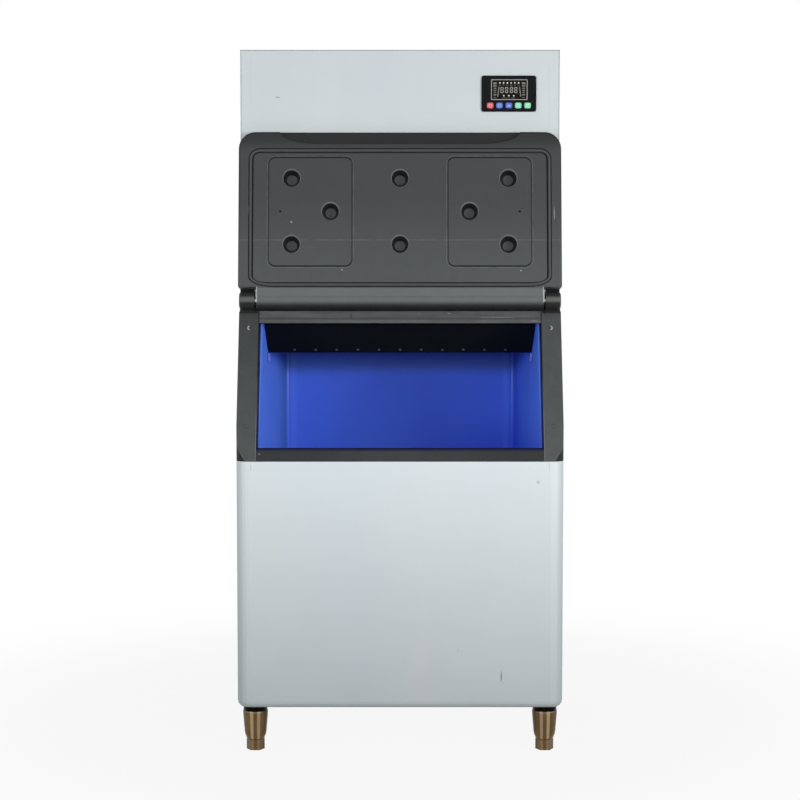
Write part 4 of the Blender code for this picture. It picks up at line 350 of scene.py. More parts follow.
def closed_foam(name):
    """Poured yellow foam with its cells."""
    f = Finish(name)
    cell = f.cells(420.0)
    cloud = f.noise(16.0, 4.0)
    tone = f.mix((0.62, 0.52, 0.30), (0.80, 0.72, 0.48), cloud)
    return f.surface(tone, 0.9, 0.0, f.bump(cell, 0.5, 0.001))


def tube_copper(name):
    """Drawn copper with darker stains."""
    f = Finish(name)
    stain = f.noise(40.0, 4.0)
    tone = f.mix((0.62, 0.27, 0.14), (0.40, 0.20, 0.12), stain.rise(0.45, 0.75))
    return f.surface(tone, 0.25 + stain * 0.2, 1.0, f.bump(stain, 0.1, 0.0005))


def fin_pack(name):
    """Aluminium fins on edge, close together."""
    f = Finish(name)
    x = f.axes()[0]
    fins = f.node("ShaderNodeMath", {"operation": "SINE"}, {0: x * 3140.0})
    dust = f.noise(30.0, 4.0)
    tone = f.tinted((0.60, 0.62, 0.64), 0.72 + fins * 0.18 + dust * 0.10)
    return f.surface(tone, 0.42 + dust * 0.1, 0.9, f.bump(fins, 0.5, 0.0008))


def circuit_board(name):
    """Green lacquered board with its tracks."""
    f = Finish(name)
    weave = f.noise(900.0, 2.0)
    track = f.cells(160.0, stretch=(1.0, 1.0, 2.2), feature="DISTANCE_TO_EDGE").rise(0.05, 0.02)
    tone = f.mix((0.014, 0.13, 0.045), (0.03, 0.24, 0.08), track)
    return f.surface(tone, 0.35, 0.0, f.bump(weave, 0.08, 0.0003))


def dark_glass(name):
    """The display's window: black, glossy, with a faint warm tint and fingerprints."""
    f = Finish(name)
    smear = f.noise(70.0, 5.0, (1.0, 1.0, 1.6))
    tone = f.mix((0.0030, 0.0030, 0.0024), (0.0080, 0.0084, 0.0050), smear)
    return f.surface(tone, 0.12 + smear * 0.12, 0.0, f.bump(smear, 0.02, 0.0004), Specular_IOR_Level=0.04)


def key_plastic(name, body, mark, middle, shape):
    """A rubber key with its printed sign: a ring, two bars, a triangle or a square."""
    f = Finish(name)
    x, _, z = f.axes()
    across = x - middle[0]
    up = z - middle[1]
    away = (across * across + up * up) ** 0.5
    if shape == "ring":
        sign = away.band(0.0034, 0.0005, 0.0004)
    elif shape == "bars":
        sign = abs(across).rise(0.0042, 0.0036) * abs(up).band(0.0020, 0.0005, 0.0004)
    elif shape == "rise":
        sign = (abs(across) + up).rise(0.0026, 0.0020) * up.rise(-0.0030, -0.0024)
    else:
        box = abs(across).most(abs(up))
        sign = box.band(0.0034, 0.0005, 0.0004)
    grain = f.noise(700.0, 2.0)
    tone = f.tinted(body, 0.93 + grain * 0.14)
    tone = f.mix(tone, mark, sign * 0.75)
    return f.surface(tone, 0.42, 0.0, f.bump(grain, 0.06, 0.0003))


def printed_light(name, colour, glow=0.0):
    """White or grey print and the small lamps of the display."""
    f = Finish(name)
    uneven = f.noise(500.0, 2.0)
    tone = f.tinted(colour, 0.86 + uneven * 0.28)
    normal = f.bump(uneven, 0.05, 0.0002)
    return f.surface(tone, 0.5, 0.0, normal, Emission_Strength=glow, Emission_Color=(*colour, 1.0))


def put_down():
    """Leaves edit mode and deselects everything."""
    if bpy.context.object is not None and bpy.context.object.mode == "EDIT":
        bpy.ops.object.mode_set(mode="OBJECT")
    bpy.ops.object.select_all(action="DESELECT")


def take_up(piece):
    """Selects one piece alone and makes it the active one."""
    put_down()
    piece.select_set(True)
    bpy.context.view_layer.objects.active = piece


def settle(piece, name):
    """Moves the piece's place into its mesh, so that its object sits at the origin."""
    take_up(piece)
    bpy.ops.object.transform_apply(location=True, rotation=True, scale=True)
    piece.name = name
    piece.data.name = name
    return piece


def block(name, low, high):
    """A box between two corners, to be worked on."""
    put_down()
    middle = [(a + b) / 2 for a, b in zip(low, high)]
    bpy.ops.mesh.primitive_cube_add(size=1.0, location=middle)
    piece = bpy.context.object
    piece.scale = [b - a for a, b in zip(low, high)]
    return settle(piece, name)


def disc(name, middle, radius, depth, vertices=20):
    """A short round piece that faces the front, centred on middle."""
    put_down()
    bpy.ops.mesh.primitive_cylinder_add(vertices=vertices, radius=radius, depth=depth, location=middle)
    piece = bpy.context.object
    piece.rotation_euler = (math.radians(90), 0.0, 0.0)
    return settle(piece, name)


def pick_faces(piece, wanted):
    """In edit mode, selects the faces whose middle and normal wanted() accepts."""
    take_up(piece)
    bpy.ops.object.mode_set(mode="EDIT")
    bpy.ops.mesh.select_mode(type="FACE")
    bpy.ops.mesh.select_all(action="DESELECT")
    mesh = bmesh.from_edit_mesh(piece.data)
    for face in mesh.faces:
        if wanted(face.calc_center_median(), face.normal):
            face.select_set(True)
    mesh.select_flush(True)
    bmesh.update_edit_mesh(piece.data)


def pick_edges(piece, wanted):
    """In edit mode, selects the edges whose direction and middle wanted() accepts."""
    take_up(piece)
    bpy.ops.object.mode_set(mode="EDIT")
    bpy.ops.mesh.select_mode(type="EDGE")
    bpy.ops.mesh.select_all(action="DESELECT")
    mesh = bmesh.from_edit_mesh(piece.data)
    for edge in mesh.edges:
        first, second = edge.verts[0].co, edge.verts[1].co
        if wanted((second - first).normalized(), (first + second) / 2):
            edge.select_set(True)
    mesh.select_flush(False)
    bmesh.update_edit_mesh(piece.data)


def round_edges(piece, wanted, radius, segments=3):
    """Rounds the edges that wanted() accepts."""
    pick_edges(piece, wanted)
    bpy.ops.mesh.bevel(offset=radius, segments=segments, affect="EDGES")
    put_down()


def faces_front(_, normal):
    return normal.y < -0.9


def runs_back(direction, _):
    return abs(direction.y) > 0.9


def soften(piece, degrees=35.0):
    """Smooth shading, with edges sharper than degrees left sharp."""
    take_up(piece)
    bpy.ops.object.shade_smooth_by_angle(angle=math.radians(degrees))
    put_down()


def copied(piece, name, shift):
    """A copy with its own mesh, moved by shift."""
    twin = piece.copy()
    twin.data = piece.data.copy()
    bpy.context.scene.collection.objects.link(twin)
    twin.location = shift
    return settle(twin, name)


def joined(name, pieces):
    """All the pieces as one."""
    put_down()
    for piece in pieces:
        piece.select_set(True)
    bpy.context.view_layer.objects.active = pieces[0]
    if len(pieces) > 1:
        bpy.ops.object.join()
    whole = bpy.context.view_layer.objects.active
    whole.name = name
    whole.data.name = name
    put_down()
    return whole


def dressed(piece, material, body, slot, *replaced):
    """Gives a piece its finish and its body. The slot is not used."""
    piece.data.materials.clear()
    piece.data.materials.append(material)
    soften(piece)
    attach(piece, body)
    if replaced:
        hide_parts(*replaced)
    return piece


# Control panel
PANEL_LOW, PANEL_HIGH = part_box("control_fascia")
WINDOW_LOW, WINDOW_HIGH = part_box("display_window")
WINDOW_X = (WINDOW_LOW.x + WINDOW_HIGH.x) / 2
WINDOW_Z = (WINDOW_LOW.z + WINDOW_HIGH.z) / 2
PRINT = 0.00015
LAMP_X = (-0.0224, -0.0135, -0.0046, 0.0043, 0.0132, 0.0221)
LAMP_Z = 0.0160
LOW_LAMP_X = (-0.0130, -0.0010, 0.0108)
LOW_LAMP_Z = -0.0142
DIGIT_X = (-0.0173, -0.0065, 0.0053, 0.0156)
DIGIT_Z = -0.0008
DIGIT_WIDTH = 0.0072
DIGIT_HEIGHT = 0.0140
SEGMENT = 0.0015
FOOT_BAR_X = (-0.0125, -0.0015, 0.0095)
SIDE_MARKS = (
    (0.0150, 0.0044, 0.0042),
    (0.0090, 0.0030, 0.0040),
    (0.0035, 0.0022, 0.0034),
    (-0.0015, 0.0022, 0.0034),
    (-0.0065, 0.0022, 0.0030),
    (-0.0120, 0.0030, 0.0036),
    (-0.0185, 0.0012, 0.0032),
)
RIM_WIDTH = 0.0030
RIM_OVER = 0.0002
RIM_PROUD = 0.0006
RIM_ROUND = 0.0057


def print_bar(low, high, round_by=0.0002):
    """A printed bar on the window, given by two corners measured from the window's middle."""
    back = WINDOW_LOW.y + 0.00002
    piece = block(
        "bar",
        (WINDOW_X + low[0], back - PRINT, WINDOW_Z + low[1]),
        (WINDOW_X + high[0], back, WINDOW_Z + high[1]),
    )
    round_edges(piece, runs_back, round_by, 2)
    return piece


def make_digits():
    """Four figures of seven bars each. One is made and the rest are its copies."""
    half = DIGIT_WIDTH / 2
    tall = DIGIT_HEIGHT / 2
    s = SEGMENT / 2
    g = 0.0002
    bars = []
    for level in (-tall + s, 0.0, tall - s):
        bars.append(print_bar((-half + SEGMENT, level - s), (half - SEGMENT, level + s), 0.0004))
    for side in (-half + s, half - s):
        bars.append(print_bar((side - s, g + s), (side + s, tall - s - g), 0.0004))
        bars.append(print_bar((side - s, -tall + s + g), (side + s, -g - s), 0.0004))
    first = joined("digit", bars)
    digits = [copied(first, "digit_copy", (x, 0.0, DIGIT_Z)) for x in DIGIT_X]
    bpy.data.objects.remove(first)
    whole = joined("display_digits", digits)
    return dressed(whole, PRINT_GREY, "cabinet", "white_plastic")


def make_lamps():
    """The small round lamps of the display, six above the figures and three below them."""
    lamps = []
    y = WINDOW_LOW.y - 0.0001
    spots = [(x, LAMP_Z) for x in LAMP_X] + [(x, LOW_LAMP_Z) for x in LOW_LAMP_X]
    for x, z in spots:
        lamp = disc("lamp", (WINDOW_X + x, y, WINDOW_Z + z), 0.0017, 0.0003)
        pick_faces(lamp, faces_front)
        bpy.ops.mesh.inset(thickness=0.0005, depth=0.0002)
        put_down()
        lamps.append(lamp)
    return dressed(joined("display_lamps", lamps), PRINT_WHITE, "cabinet", "white_plastic")


def make_window_frame():
    """The thin pale line round the display."""
    half_x, half_z, line = 0.0431, 0.0240, 0.0013
    outer = print_bar((-half_x, -half_z), (half_x, half_z), 0.0014)
    pick_faces(outer, faces_front)
    bpy.ops.mesh.inset(thickness=line, depth=0.0)
    bpy.ops.mesh.extrude_region_move(TRANSFORM_OT_translate={"value": (0.0, PRINT * 0.9, 0.0)})
    put_down()
    outer.name = "display_frame"
    return dressed(outer, PRINT_LINE, "cabinet", "white_plastic")


def make_side_marks():
    """Plain blocks and slanted bars at both sides of the figures, and short bars under the lamps."""
    marks = []
    for side in (-1, 1):
        bar = print_bar((side * 0.0252 - 0.0012, -0.0165), (side * 0.0252 + 0.0012, 0.0070), 0.0003)
        take_up(bar)
        bpy.ops.object.mode_set(mode="EDIT")
        bpy.ops.mesh.select_all(action="SELECT")
        pivot = (WINDOW_X + side * 0.0252, WINDOW_LOW.y, WINDOW_Z)
        lean = math.radians(8.0) * side
        bpy.ops.transform.rotate(value=lean, orient_axis="Y", center_override=pivot)
        put_down()
        marks.append(bar)
        column = side * 0.0342
        for z, tall, wide in SIDE_MARKS:
            marks.append(print_bar((column - wide, z - tall / 2), (column + wide, z + tall / 2), 0.0005))
    for x in LAMP_X:
        marks.append(print_bar((x - 0.0030, 0.0104), (x + 0.0030, 0.0113)))
    for x in FOOT_BAR_X:
        marks.append(print_bar((x - 0.0040, -0.0196), (x + 0.0040, -0.0188)))
    return dressed(joined("display_marks", marks), PRINT_DIM, "cabinet", "white_plastic")


def make_bezel():
    """The raised rim round the control panel's plate: a rounded block, opened from front to back."""
    low = (PANEL_LOW.x - RIM_OVER, PANEL_LOW.y - RIM_PROUD, PANEL_LOW.z - RIM_OVER)
    high = (PANEL_HIGH.x + RIM_OVER, PANEL_HIGH.y, PANEL_HIGH.z + RIM_OVER)
    piece = block("panel_rim", low, high)
    round_edges(piece, runs_back, RIM_ROUND, 5)
    for facing in (-1, 1):
        pick_faces(piece, lambda _, normal: normal.y * facing > 0.9)
        bpy.ops.mesh.inset(thickness=RIM_WIDTH, depth=0.0)
        put_down()
    centre = (PANEL_LOW + PANEL_HIGH) / 2

    def inner(middle, normal):
        near = abs(middle.x - centre.x) < 0.01 and abs(middle.z - centre.z) < 0.03
        return near and abs(normal.y) > 0.9

    pick_faces(piece, inner)
    bpy.ops.mesh.bridge_edge_loops()
    bpy.ops.object.mode_set(mode="OBJECT")
    bevel = piece.modifiers.new("rounding", "BEVEL")
    bevel.width = 0.0006
    bevel.segments = 2
    bevel.limit_method = "ANGLE"
    take_up(piece)
    bpy.ops.object.modifier_apply(modifier="rounding")
    return dressed(piece, PANEL_BLACK, "cabinet", "black_plastic")


LIP_FROM_FRONT = 0.0200
LIP_HALF = 0.3312
LIP_STANDS = 0.0026


def make_sill_lip():
    """The lip of the liner that stands behind the sill, along its top edge, coloured near black as painted
    shade.
    """
    low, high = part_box("frame_sill")
    back = low.y + LIP_FROM_FRONT
    foot = (-LIP_HALF, back, high.z - 0.0008)
    lip = block("sill_lip", foot, (LIP_HALF, back + 0.0030, high.z + LIP_STANDS))
    pick_faces(lip, lambda _, normal: normal.z > 0.9)
    bpy.ops.mesh.inset(thickness=0.0007, depth=0.0)
    bpy.ops.mesh.extrude_region_move(TRANSFORM_OT_translate={"value": (0.0, 0.0, 0.0005)})
    put_down()
    return dressed(lip, SILL_LIP_SHADE, "cabinet", "blue_plastic")


KEY_INSET = 0.0004
KEY_SLOTS = ("red", "blue_key", "blue_key", "green_key", "green_key")
KEY_LOOKS = (
    ((0.58, 0.065, 0.080), (0.72, 0.40, 0.42), "ring"),
    ((0.055, 0.125, 0.50), (0.26, 0.38, 0.66), "ring"),
    ((0.045, 0.105, 0.47), (0.30, 0.42, 0.72), "rise"),
    ((0.165, 0.57, 0.36), (0.36, 0.70, 0.52), "square"),
    ((0.20, 0.60, 0.33), (0.40, 0.72, 0.52), "bars"),
)


def make_keys():
    """Each key has rounded corners, a soft rim and a dished top."""
    for number, (body, mark, shape) in enumerate(KEY_LOOKS, start=1):
        node = f"button_{number}"
        low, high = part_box(node)
        cap_low, cap_high = key_cap(node)
        middle = ((cap_low[0] + cap_high[0]) / 2, (cap_low[2] + cap_high[2]) / 2)
        small_low = (cap_low[0] + KEY_INSET, cap_low[1], cap_low[2] + KEY_INSET)
        small_high = (cap_high[0] - KEY_INSET, cap_high[1], cap_high[2] - KEY_INSET)
        cap = block(f"key_cap_{number}", small_low, small_high)
        round_edges(cap, runs_back, 0.0034, 5)
        pick_faces(cap, faces_front)
        bpy.ops.mesh.inset(thickness=0.0007, depth=0.0004)
        bpy.ops.mesh.inset(thickness=0.0012, depth=-0.0003)
        put_down()
        skirt = block(f"key_skirt_{number}", (low.x, cap_high[1] - 0.0004, low.z), tuple(high))
        round_edges(skirt, runs_back, 0.0030, 3)
        key = joined(f"key_{number}", [cap, skirt])
        material = key_plastic(f"key_plastic_{number}", body, mark, middle, shape)
        dressed(key, material, node, KEY_SLOTS[number - 1], node)


def key_cap(node):
    """The corners of a key's cap, which is its front part, read from the node's own mesh."""
    corners = [v.co for v in NODES[node].data.vertices]
    front = min(c.y for c in corners)
    cap = [c for c in corners if c.y < front + 0.0002]
    back = sorted({round(c.y, 5) for c in corners})[1]
    low = (min(c.x for c in cap), front, min(c.z for c in cap))
    high = (max(c.x for c in cap), back, max(c.z for c in cap))
    return low, high


PRINT_WHITE = printed_light("lamp_white", (0.62, 0.63, 0.55), 0.06)
PRINT_GREY = printed_light("figure_grey", (0.30, 0.30, 0.27))
PRINT_LINE = printed_light("frame_line", (0.36, 0.35, 0.33))
PRINT_DIM = printed_light("dim_print", (0.125, 0.125, 0.100))
PANEL_BLACK = moulded_black("panel_black", (0.0012, 0.0012, 0.0026), 0.44, 0.05, 0.08)
make_digits()
make_lamps()
make_window_frame()
make_side_marks()
make_bezel()
# painted shade: the liner's lip coloured near black for the shade behind the sill
SILL_LIP_SHADE = moulded_black("sill_lip_shade", (0.0030, 0.0040, 0.0160), 0.50, 0.05, 0.08)
make_sill_lip()
make_keys()

# Finishes of the CAD nodes
SHEET_MARKS = (
    ((-0.2912, -0.2150, 1.5382), (0.0050, 0.01, 0.0016), 0.55),
    ((-0.2711, -0.2150, 1.4719), (0.0330, 0.01, 0.0030), 0.05),
    ((-0.3554, -0.2150, 1.5808), (0.0010, 0.01, 0.0600), 0.10),
    ((0.3554, -0.2150, 1.5208), (0.0010, 0.01, 0.1100), 0.10),
    ((0.2355, -0.4150, 0.1844), (0.0018, 0.01, 0.0130), 0.75),
    ((0.3195, -0.4150, 0.6393), (0.0040, 0.01, 0.0040), 0.30),
    ((0.1351, -0.4150, 0.2458), (0.0030, 0.01, 0.0030), 0.25),
    ((-0.3448, -0.4150, 0.6742), (0.0010, 0.01, 0.0090), 0.30),
    ((0.3448, -0.4150, 0.6742), (0.0010, 0.01, 0.0090), 0.30),
)
OPENING = 0.333
FRAME_SLOPE = math.radians(20.5)
KNUCKLE_Z = 1.0262
HEADER_FOOT = 1.0030
SILL_TOP = 0.7135
CORNER_X = 0.3800
CORNER_Z = 0.7290
CORNER_TALL = 0.0390
CORNER_WIDE = 0.0215
UPPER_SCREW_X = 0.3542
LOWER_SCREW_X = 0.3570
UPPER_SCREW_Z = 0.992
LOWER_SCREW_Z = 0.767
FRAME_MARKS = (
    ((-0.1158, -0.295, 1.0203), (0.0014, 0.03, 0.0050), 0.9, (0.015, 0.016, 0.016)),
    ((0.1158, -0.295, 1.0262), (0.0040, 0.03, 0.0012), 0.6, (0.24, 0.25, 0.25)),
    ((0.2260, -0.295, 1.0170), (0.0450, 0.03, 0.0009), 0.6, (0.20, 0.21, 0.21)),
    ((-0.2000, -0.295, 1.0150), (0.0900, 0.03, 0.0008), 0.5, (0.045, 0.048, 0.048)),
    ((0.3180, -0.295, 1.0080), (0.0100, 0.03, 0.0010), 0.5, (0.24, 0.25, 0.25)),
    # painted highlight: a glint on the sill's screw
    ((-0.3255, -0.405, 0.7035), (0.0020, 0.03, 0.0012), 0.6, (0.24, 0.25, 0.24)),
)


def frame_moulding(name):
    """The black mouldings round the opening, with the wear, the seams and the screws of the photograph."""
    f = Finish(name)
    x, _, z = f.axes()
    side = abs(x)
    skin = f.noise(1100.0, 2.0)
    mottle = f.noise(46.0, 5.0, roughness=0.7)
    blot = f.noise(26.0, 4.0, shift=(0.2, 0.4, 0.1))
    # painted light and shade: the posts darker towards the top and lighter on the right, the header
    # lighter than the posts, and the sill darker, more so towards its ends
    post = f.mix((0.046, 0.051, 0.051), (0.078, 0.085, 0.087), z.rise(1.00, 0.72))
    post = f.mix(post, (0.086, 0.094, 0.096), x.rise(0.20, 0.30) * 0.5)
    streak = f.noise(26.0, 5.0, (0.25, 1.0, 7.0), 0.6)
    header = f.mix((0.080, 0.085, 0.087), (0.130, 0.136, 0.138), streak.rise(0.30, 0.75))
    header = f.mix(header, (0.030, 0.032, 0.033), z.band(1.0135, 0.0014, 0.0022) * 0.55)
    sill = f.mix((0.023, 0.025, 0.027), (0.036, 0.039, 0.042), side.rise(0.26, 0.02))
    middle = side.rise(OPENING + 0.0006, OPENING)
    upper = z.rise(0.86, 0.88)
    tone = f.mix(sill, header, upper)
    tone = f.mix(post, tone, middle)
    pale = f.noise(95.0, 4.0, roughness=0.7).rise(0.56, 0.72)
    tone = f.tinted(tone, 0.38 + mottle * 0.30 + blot * 0.28 + pale * 0.10)
    # painted shade: near black on the header's drop lip, under its foot
    lip = z.rise(HEADER_FOOT + 0.0003, HEADER_FOOT) * upper * middle
    tone = f.mix(tone, (0.0006, 0.0008, 0.0012), lip)
    # painted shade: a dark line along the top of the sill
    painted_sill_top_shade = z.rise(SILL_TOP - 0.0040, SILL_TOP - 0.0030) * z.rise(0.80, 0.75) * middle
    tone = f.mix(tone, (0.0040, 0.0055, 0.0130), painted_sill_top_shade * 0.9)
    seam = side.band(OPENING, 0.0010, 0.0008)
    tone = f.mix(tone, (0.006, 0.007, 0.008), seam * upper * 0.9)
    # painted highlight: a pale line along the inner edge of each post, lower down
    painted_edge_highlight = side.band(OPENING + 0.0014, 0.0004, 0.0006) * z.rise(0.83, 0.76)
    tone = f.mix(tone, (0.150, 0.158, 0.160), painted_edge_highlight * 0.7)
    outside = side - CORNER_X + (((CORNER_Z - z) / CORNER_TALL).most(0.0) ** 1.5) * CORNER_WIDE
    # painted highlight: a pale line round the rounded lower outer corner of each post
    painted_corner_edge_highlight = outside.band(-0.0006, 0.0004, 0.0006) * z.rise(CORNER_Z, CORNER_Z - 0.008)
    tone = f.mix(tone, (0.130, 0.138, 0.140), painted_corner_edge_highlight * 0.5)
    # painted shade: dark beyond that rounded corner, on the side of the post
    tone = f.mix(tone, (0.0050, 0.0055, 0.0060), outside.rise(-0.0002, 0.0006))
    # painted light and shade on the hinge knuckles: dark, with a lit band across the middle
    knuckle = z.rise(KNUCKLE_Z, KNUCKLE_Z + 0.0005)
    shine = z.band(1.0595, 0.0022, 0.0070)
    painted_knuckle_shading = f.mix((0.007, 0.008, 0.008), (0.078, 0.082, 0.078), shine)
    tone = f.mix(tone, painted_knuckle_shading, knuckle * side.rise(0.335, 0.337))
    across = side - UPPER_SCREW_X
    along = (z - UPPER_SCREW_Z) / math.cos(FRAME_SLOPE)
    away = (across * across + along * along) ** 0.5
    tone = f.mix(tone, (0.016, 0.018, 0.018), away.rise(0.0062, 0.0050) * 0.5)
    # painted highlight: a pale arc on the outer side of each upper screw
    painted_screw_highlight = away.band(0.0042, 0.0010, 0.0008) * across.rise(-0.001, 0.0015)
    tone = f.mix(tone, (0.330, 0.345, 0.340), painted_screw_highlight * 0.85)
    across_low = side - LOWER_SCREW_X
    along_low = (z - LOWER_SCREW_Z) / math.cos(FRAME_SLOPE)
    away_low = (across_low * across_low + along_low * along_low) ** 0.5
    tone = f.mix(tone, (0.028, 0.031, 0.032), away_low.band(0.0052, 0.0005, 0.0012) * 0.7)
    speck = f.cells(90.0, shift=(0.37, 0.11, 0.53)).rise(0.050, 0.02)
    tone = f.mix(tone, (0.22, 0.23, 0.23), speck * 0.3)
    for place, reach, strength, shade in FRAME_MARKS:
        wobble = (f.noise(220.0, 3.0) - 0.5) * 1.1
        tone = f.mix(tone, shade, f.dab(place, reach, wobble) * strength)
    normal = f.bump(skin, 0.14, 0.0004, f.bump(mottle, 0.08, 0.001))
    return f.surface(tone, 0.46 + mottle * 0.14, 0.0, normal, Specular_IOR_Level=0.2)


STEEL = pale_steel("pale_steel", SHEET_MARKS)
PLAIN = plain_steel("plain_steel")
SHAFT = plain_steel("turned_steel", (0.62, 0.62, 0.62), 0.22, (0.04, 0.04, 1.0))
# painted reflection: the bare steel brackets coloured the blue of the liner they reflect
BRACKET_REFLECTION_BLUE = grown_paint("bracket_reflection_blue", (0.10, 0.145, 0.56), 0.40, 0.0, 40.0, 0.05)
ZINC = galvanised("galvanised_sheet")
FRAME_BLACK = frame_moulding("frame_black")
BAFFLE_BLACK = moulded_black("baffle_black", (0.0052, 0.0066, 0.0074), 0.42, 0.08, 0.06)
RUBBER = moulded_black("soft_rubber", (0.022, 0.022, 0.023), 0.72, 0.20)
# black of the shroud parts, and painted shade on the bin's top deck
SHROUD_BLACK_AND_DECK_SHADE = moulded_black("shroud_black_and_deck_shade", (0.020, 0.021, 0.022), 0.5, 0.1)
BLUE = liner_blue("liner_blue")
BRONZE = leg_bronze("leg_bronze")
FOAM = closed_foam("closed_foam")
COPPER = tube_copper("tube_copper")
FINS = fin_pack("fin_pack")
BOARD = circuit_board("circuit_board")
GLASS = dark_glass("dark_glass")
POT_BLACK = grown_paint("compressor_black", (0.014, 0.014, 0.016), 0.32, 0.0, 40.0, 0.12)
MOTOR_GREY = grown_paint("motor_grey", (0.20, 0.21, 0.22), 0.4, 0.5, 50.0, 0.10)
WHITE = grown_paint("white_plastic", (0.74, 0.75, 0.73), 0.45, 0.0, 40.0, 0.04)
RED_ROCKER = grown_paint("red_rocker", (0.55, 0.03, 0.03), 0.35, 0.0, 40.0, 0.04)


DOOR_FACE = 0.018
DIMPLE_FLOOR = -0.008
PAD_X = 0.21125
PAD_HALF_X = 0.09975
PAD_UP = 0.20875
PAD_HALF_UP = 0.13075
PAD_ROUND = 0.017
DOOR_TOP = 0.400
GRIP_DROP = 0.030
GRIP_ARC_X = 0.1931
GRIP_ARC_REACH = 0.0909
DIMPLE_PAIR_UP = 0.2095
DIMPLE_PAIR_HALF = 0.0785
DIMPLE_SHADE = 0.0014
DIMPLE_OUTER_X = 0.2555
DIMPLE_PAD_X = 0.1638
VENT_X = 0.282
DOOR_MARKS = (
    ((-0.2557, -0.28, 1.2412), (0.0022, 0.08, 0.0016), 0.7),
    ((-0.1363, -0.28, 1.1288), (0.0020, 0.08, 0.0016), 0.6),
    ((0.2843, -0.28, 1.1265), (0.0022, 0.08, 0.0016), 0.6),
    ((-0.3564, -0.28, 1.2692), (0.0010, 0.08, 0.0120), 0.5),
    ((0.3635, -0.28, 1.2598), (0.0010, 0.08, 0.0150), 0.5),
)


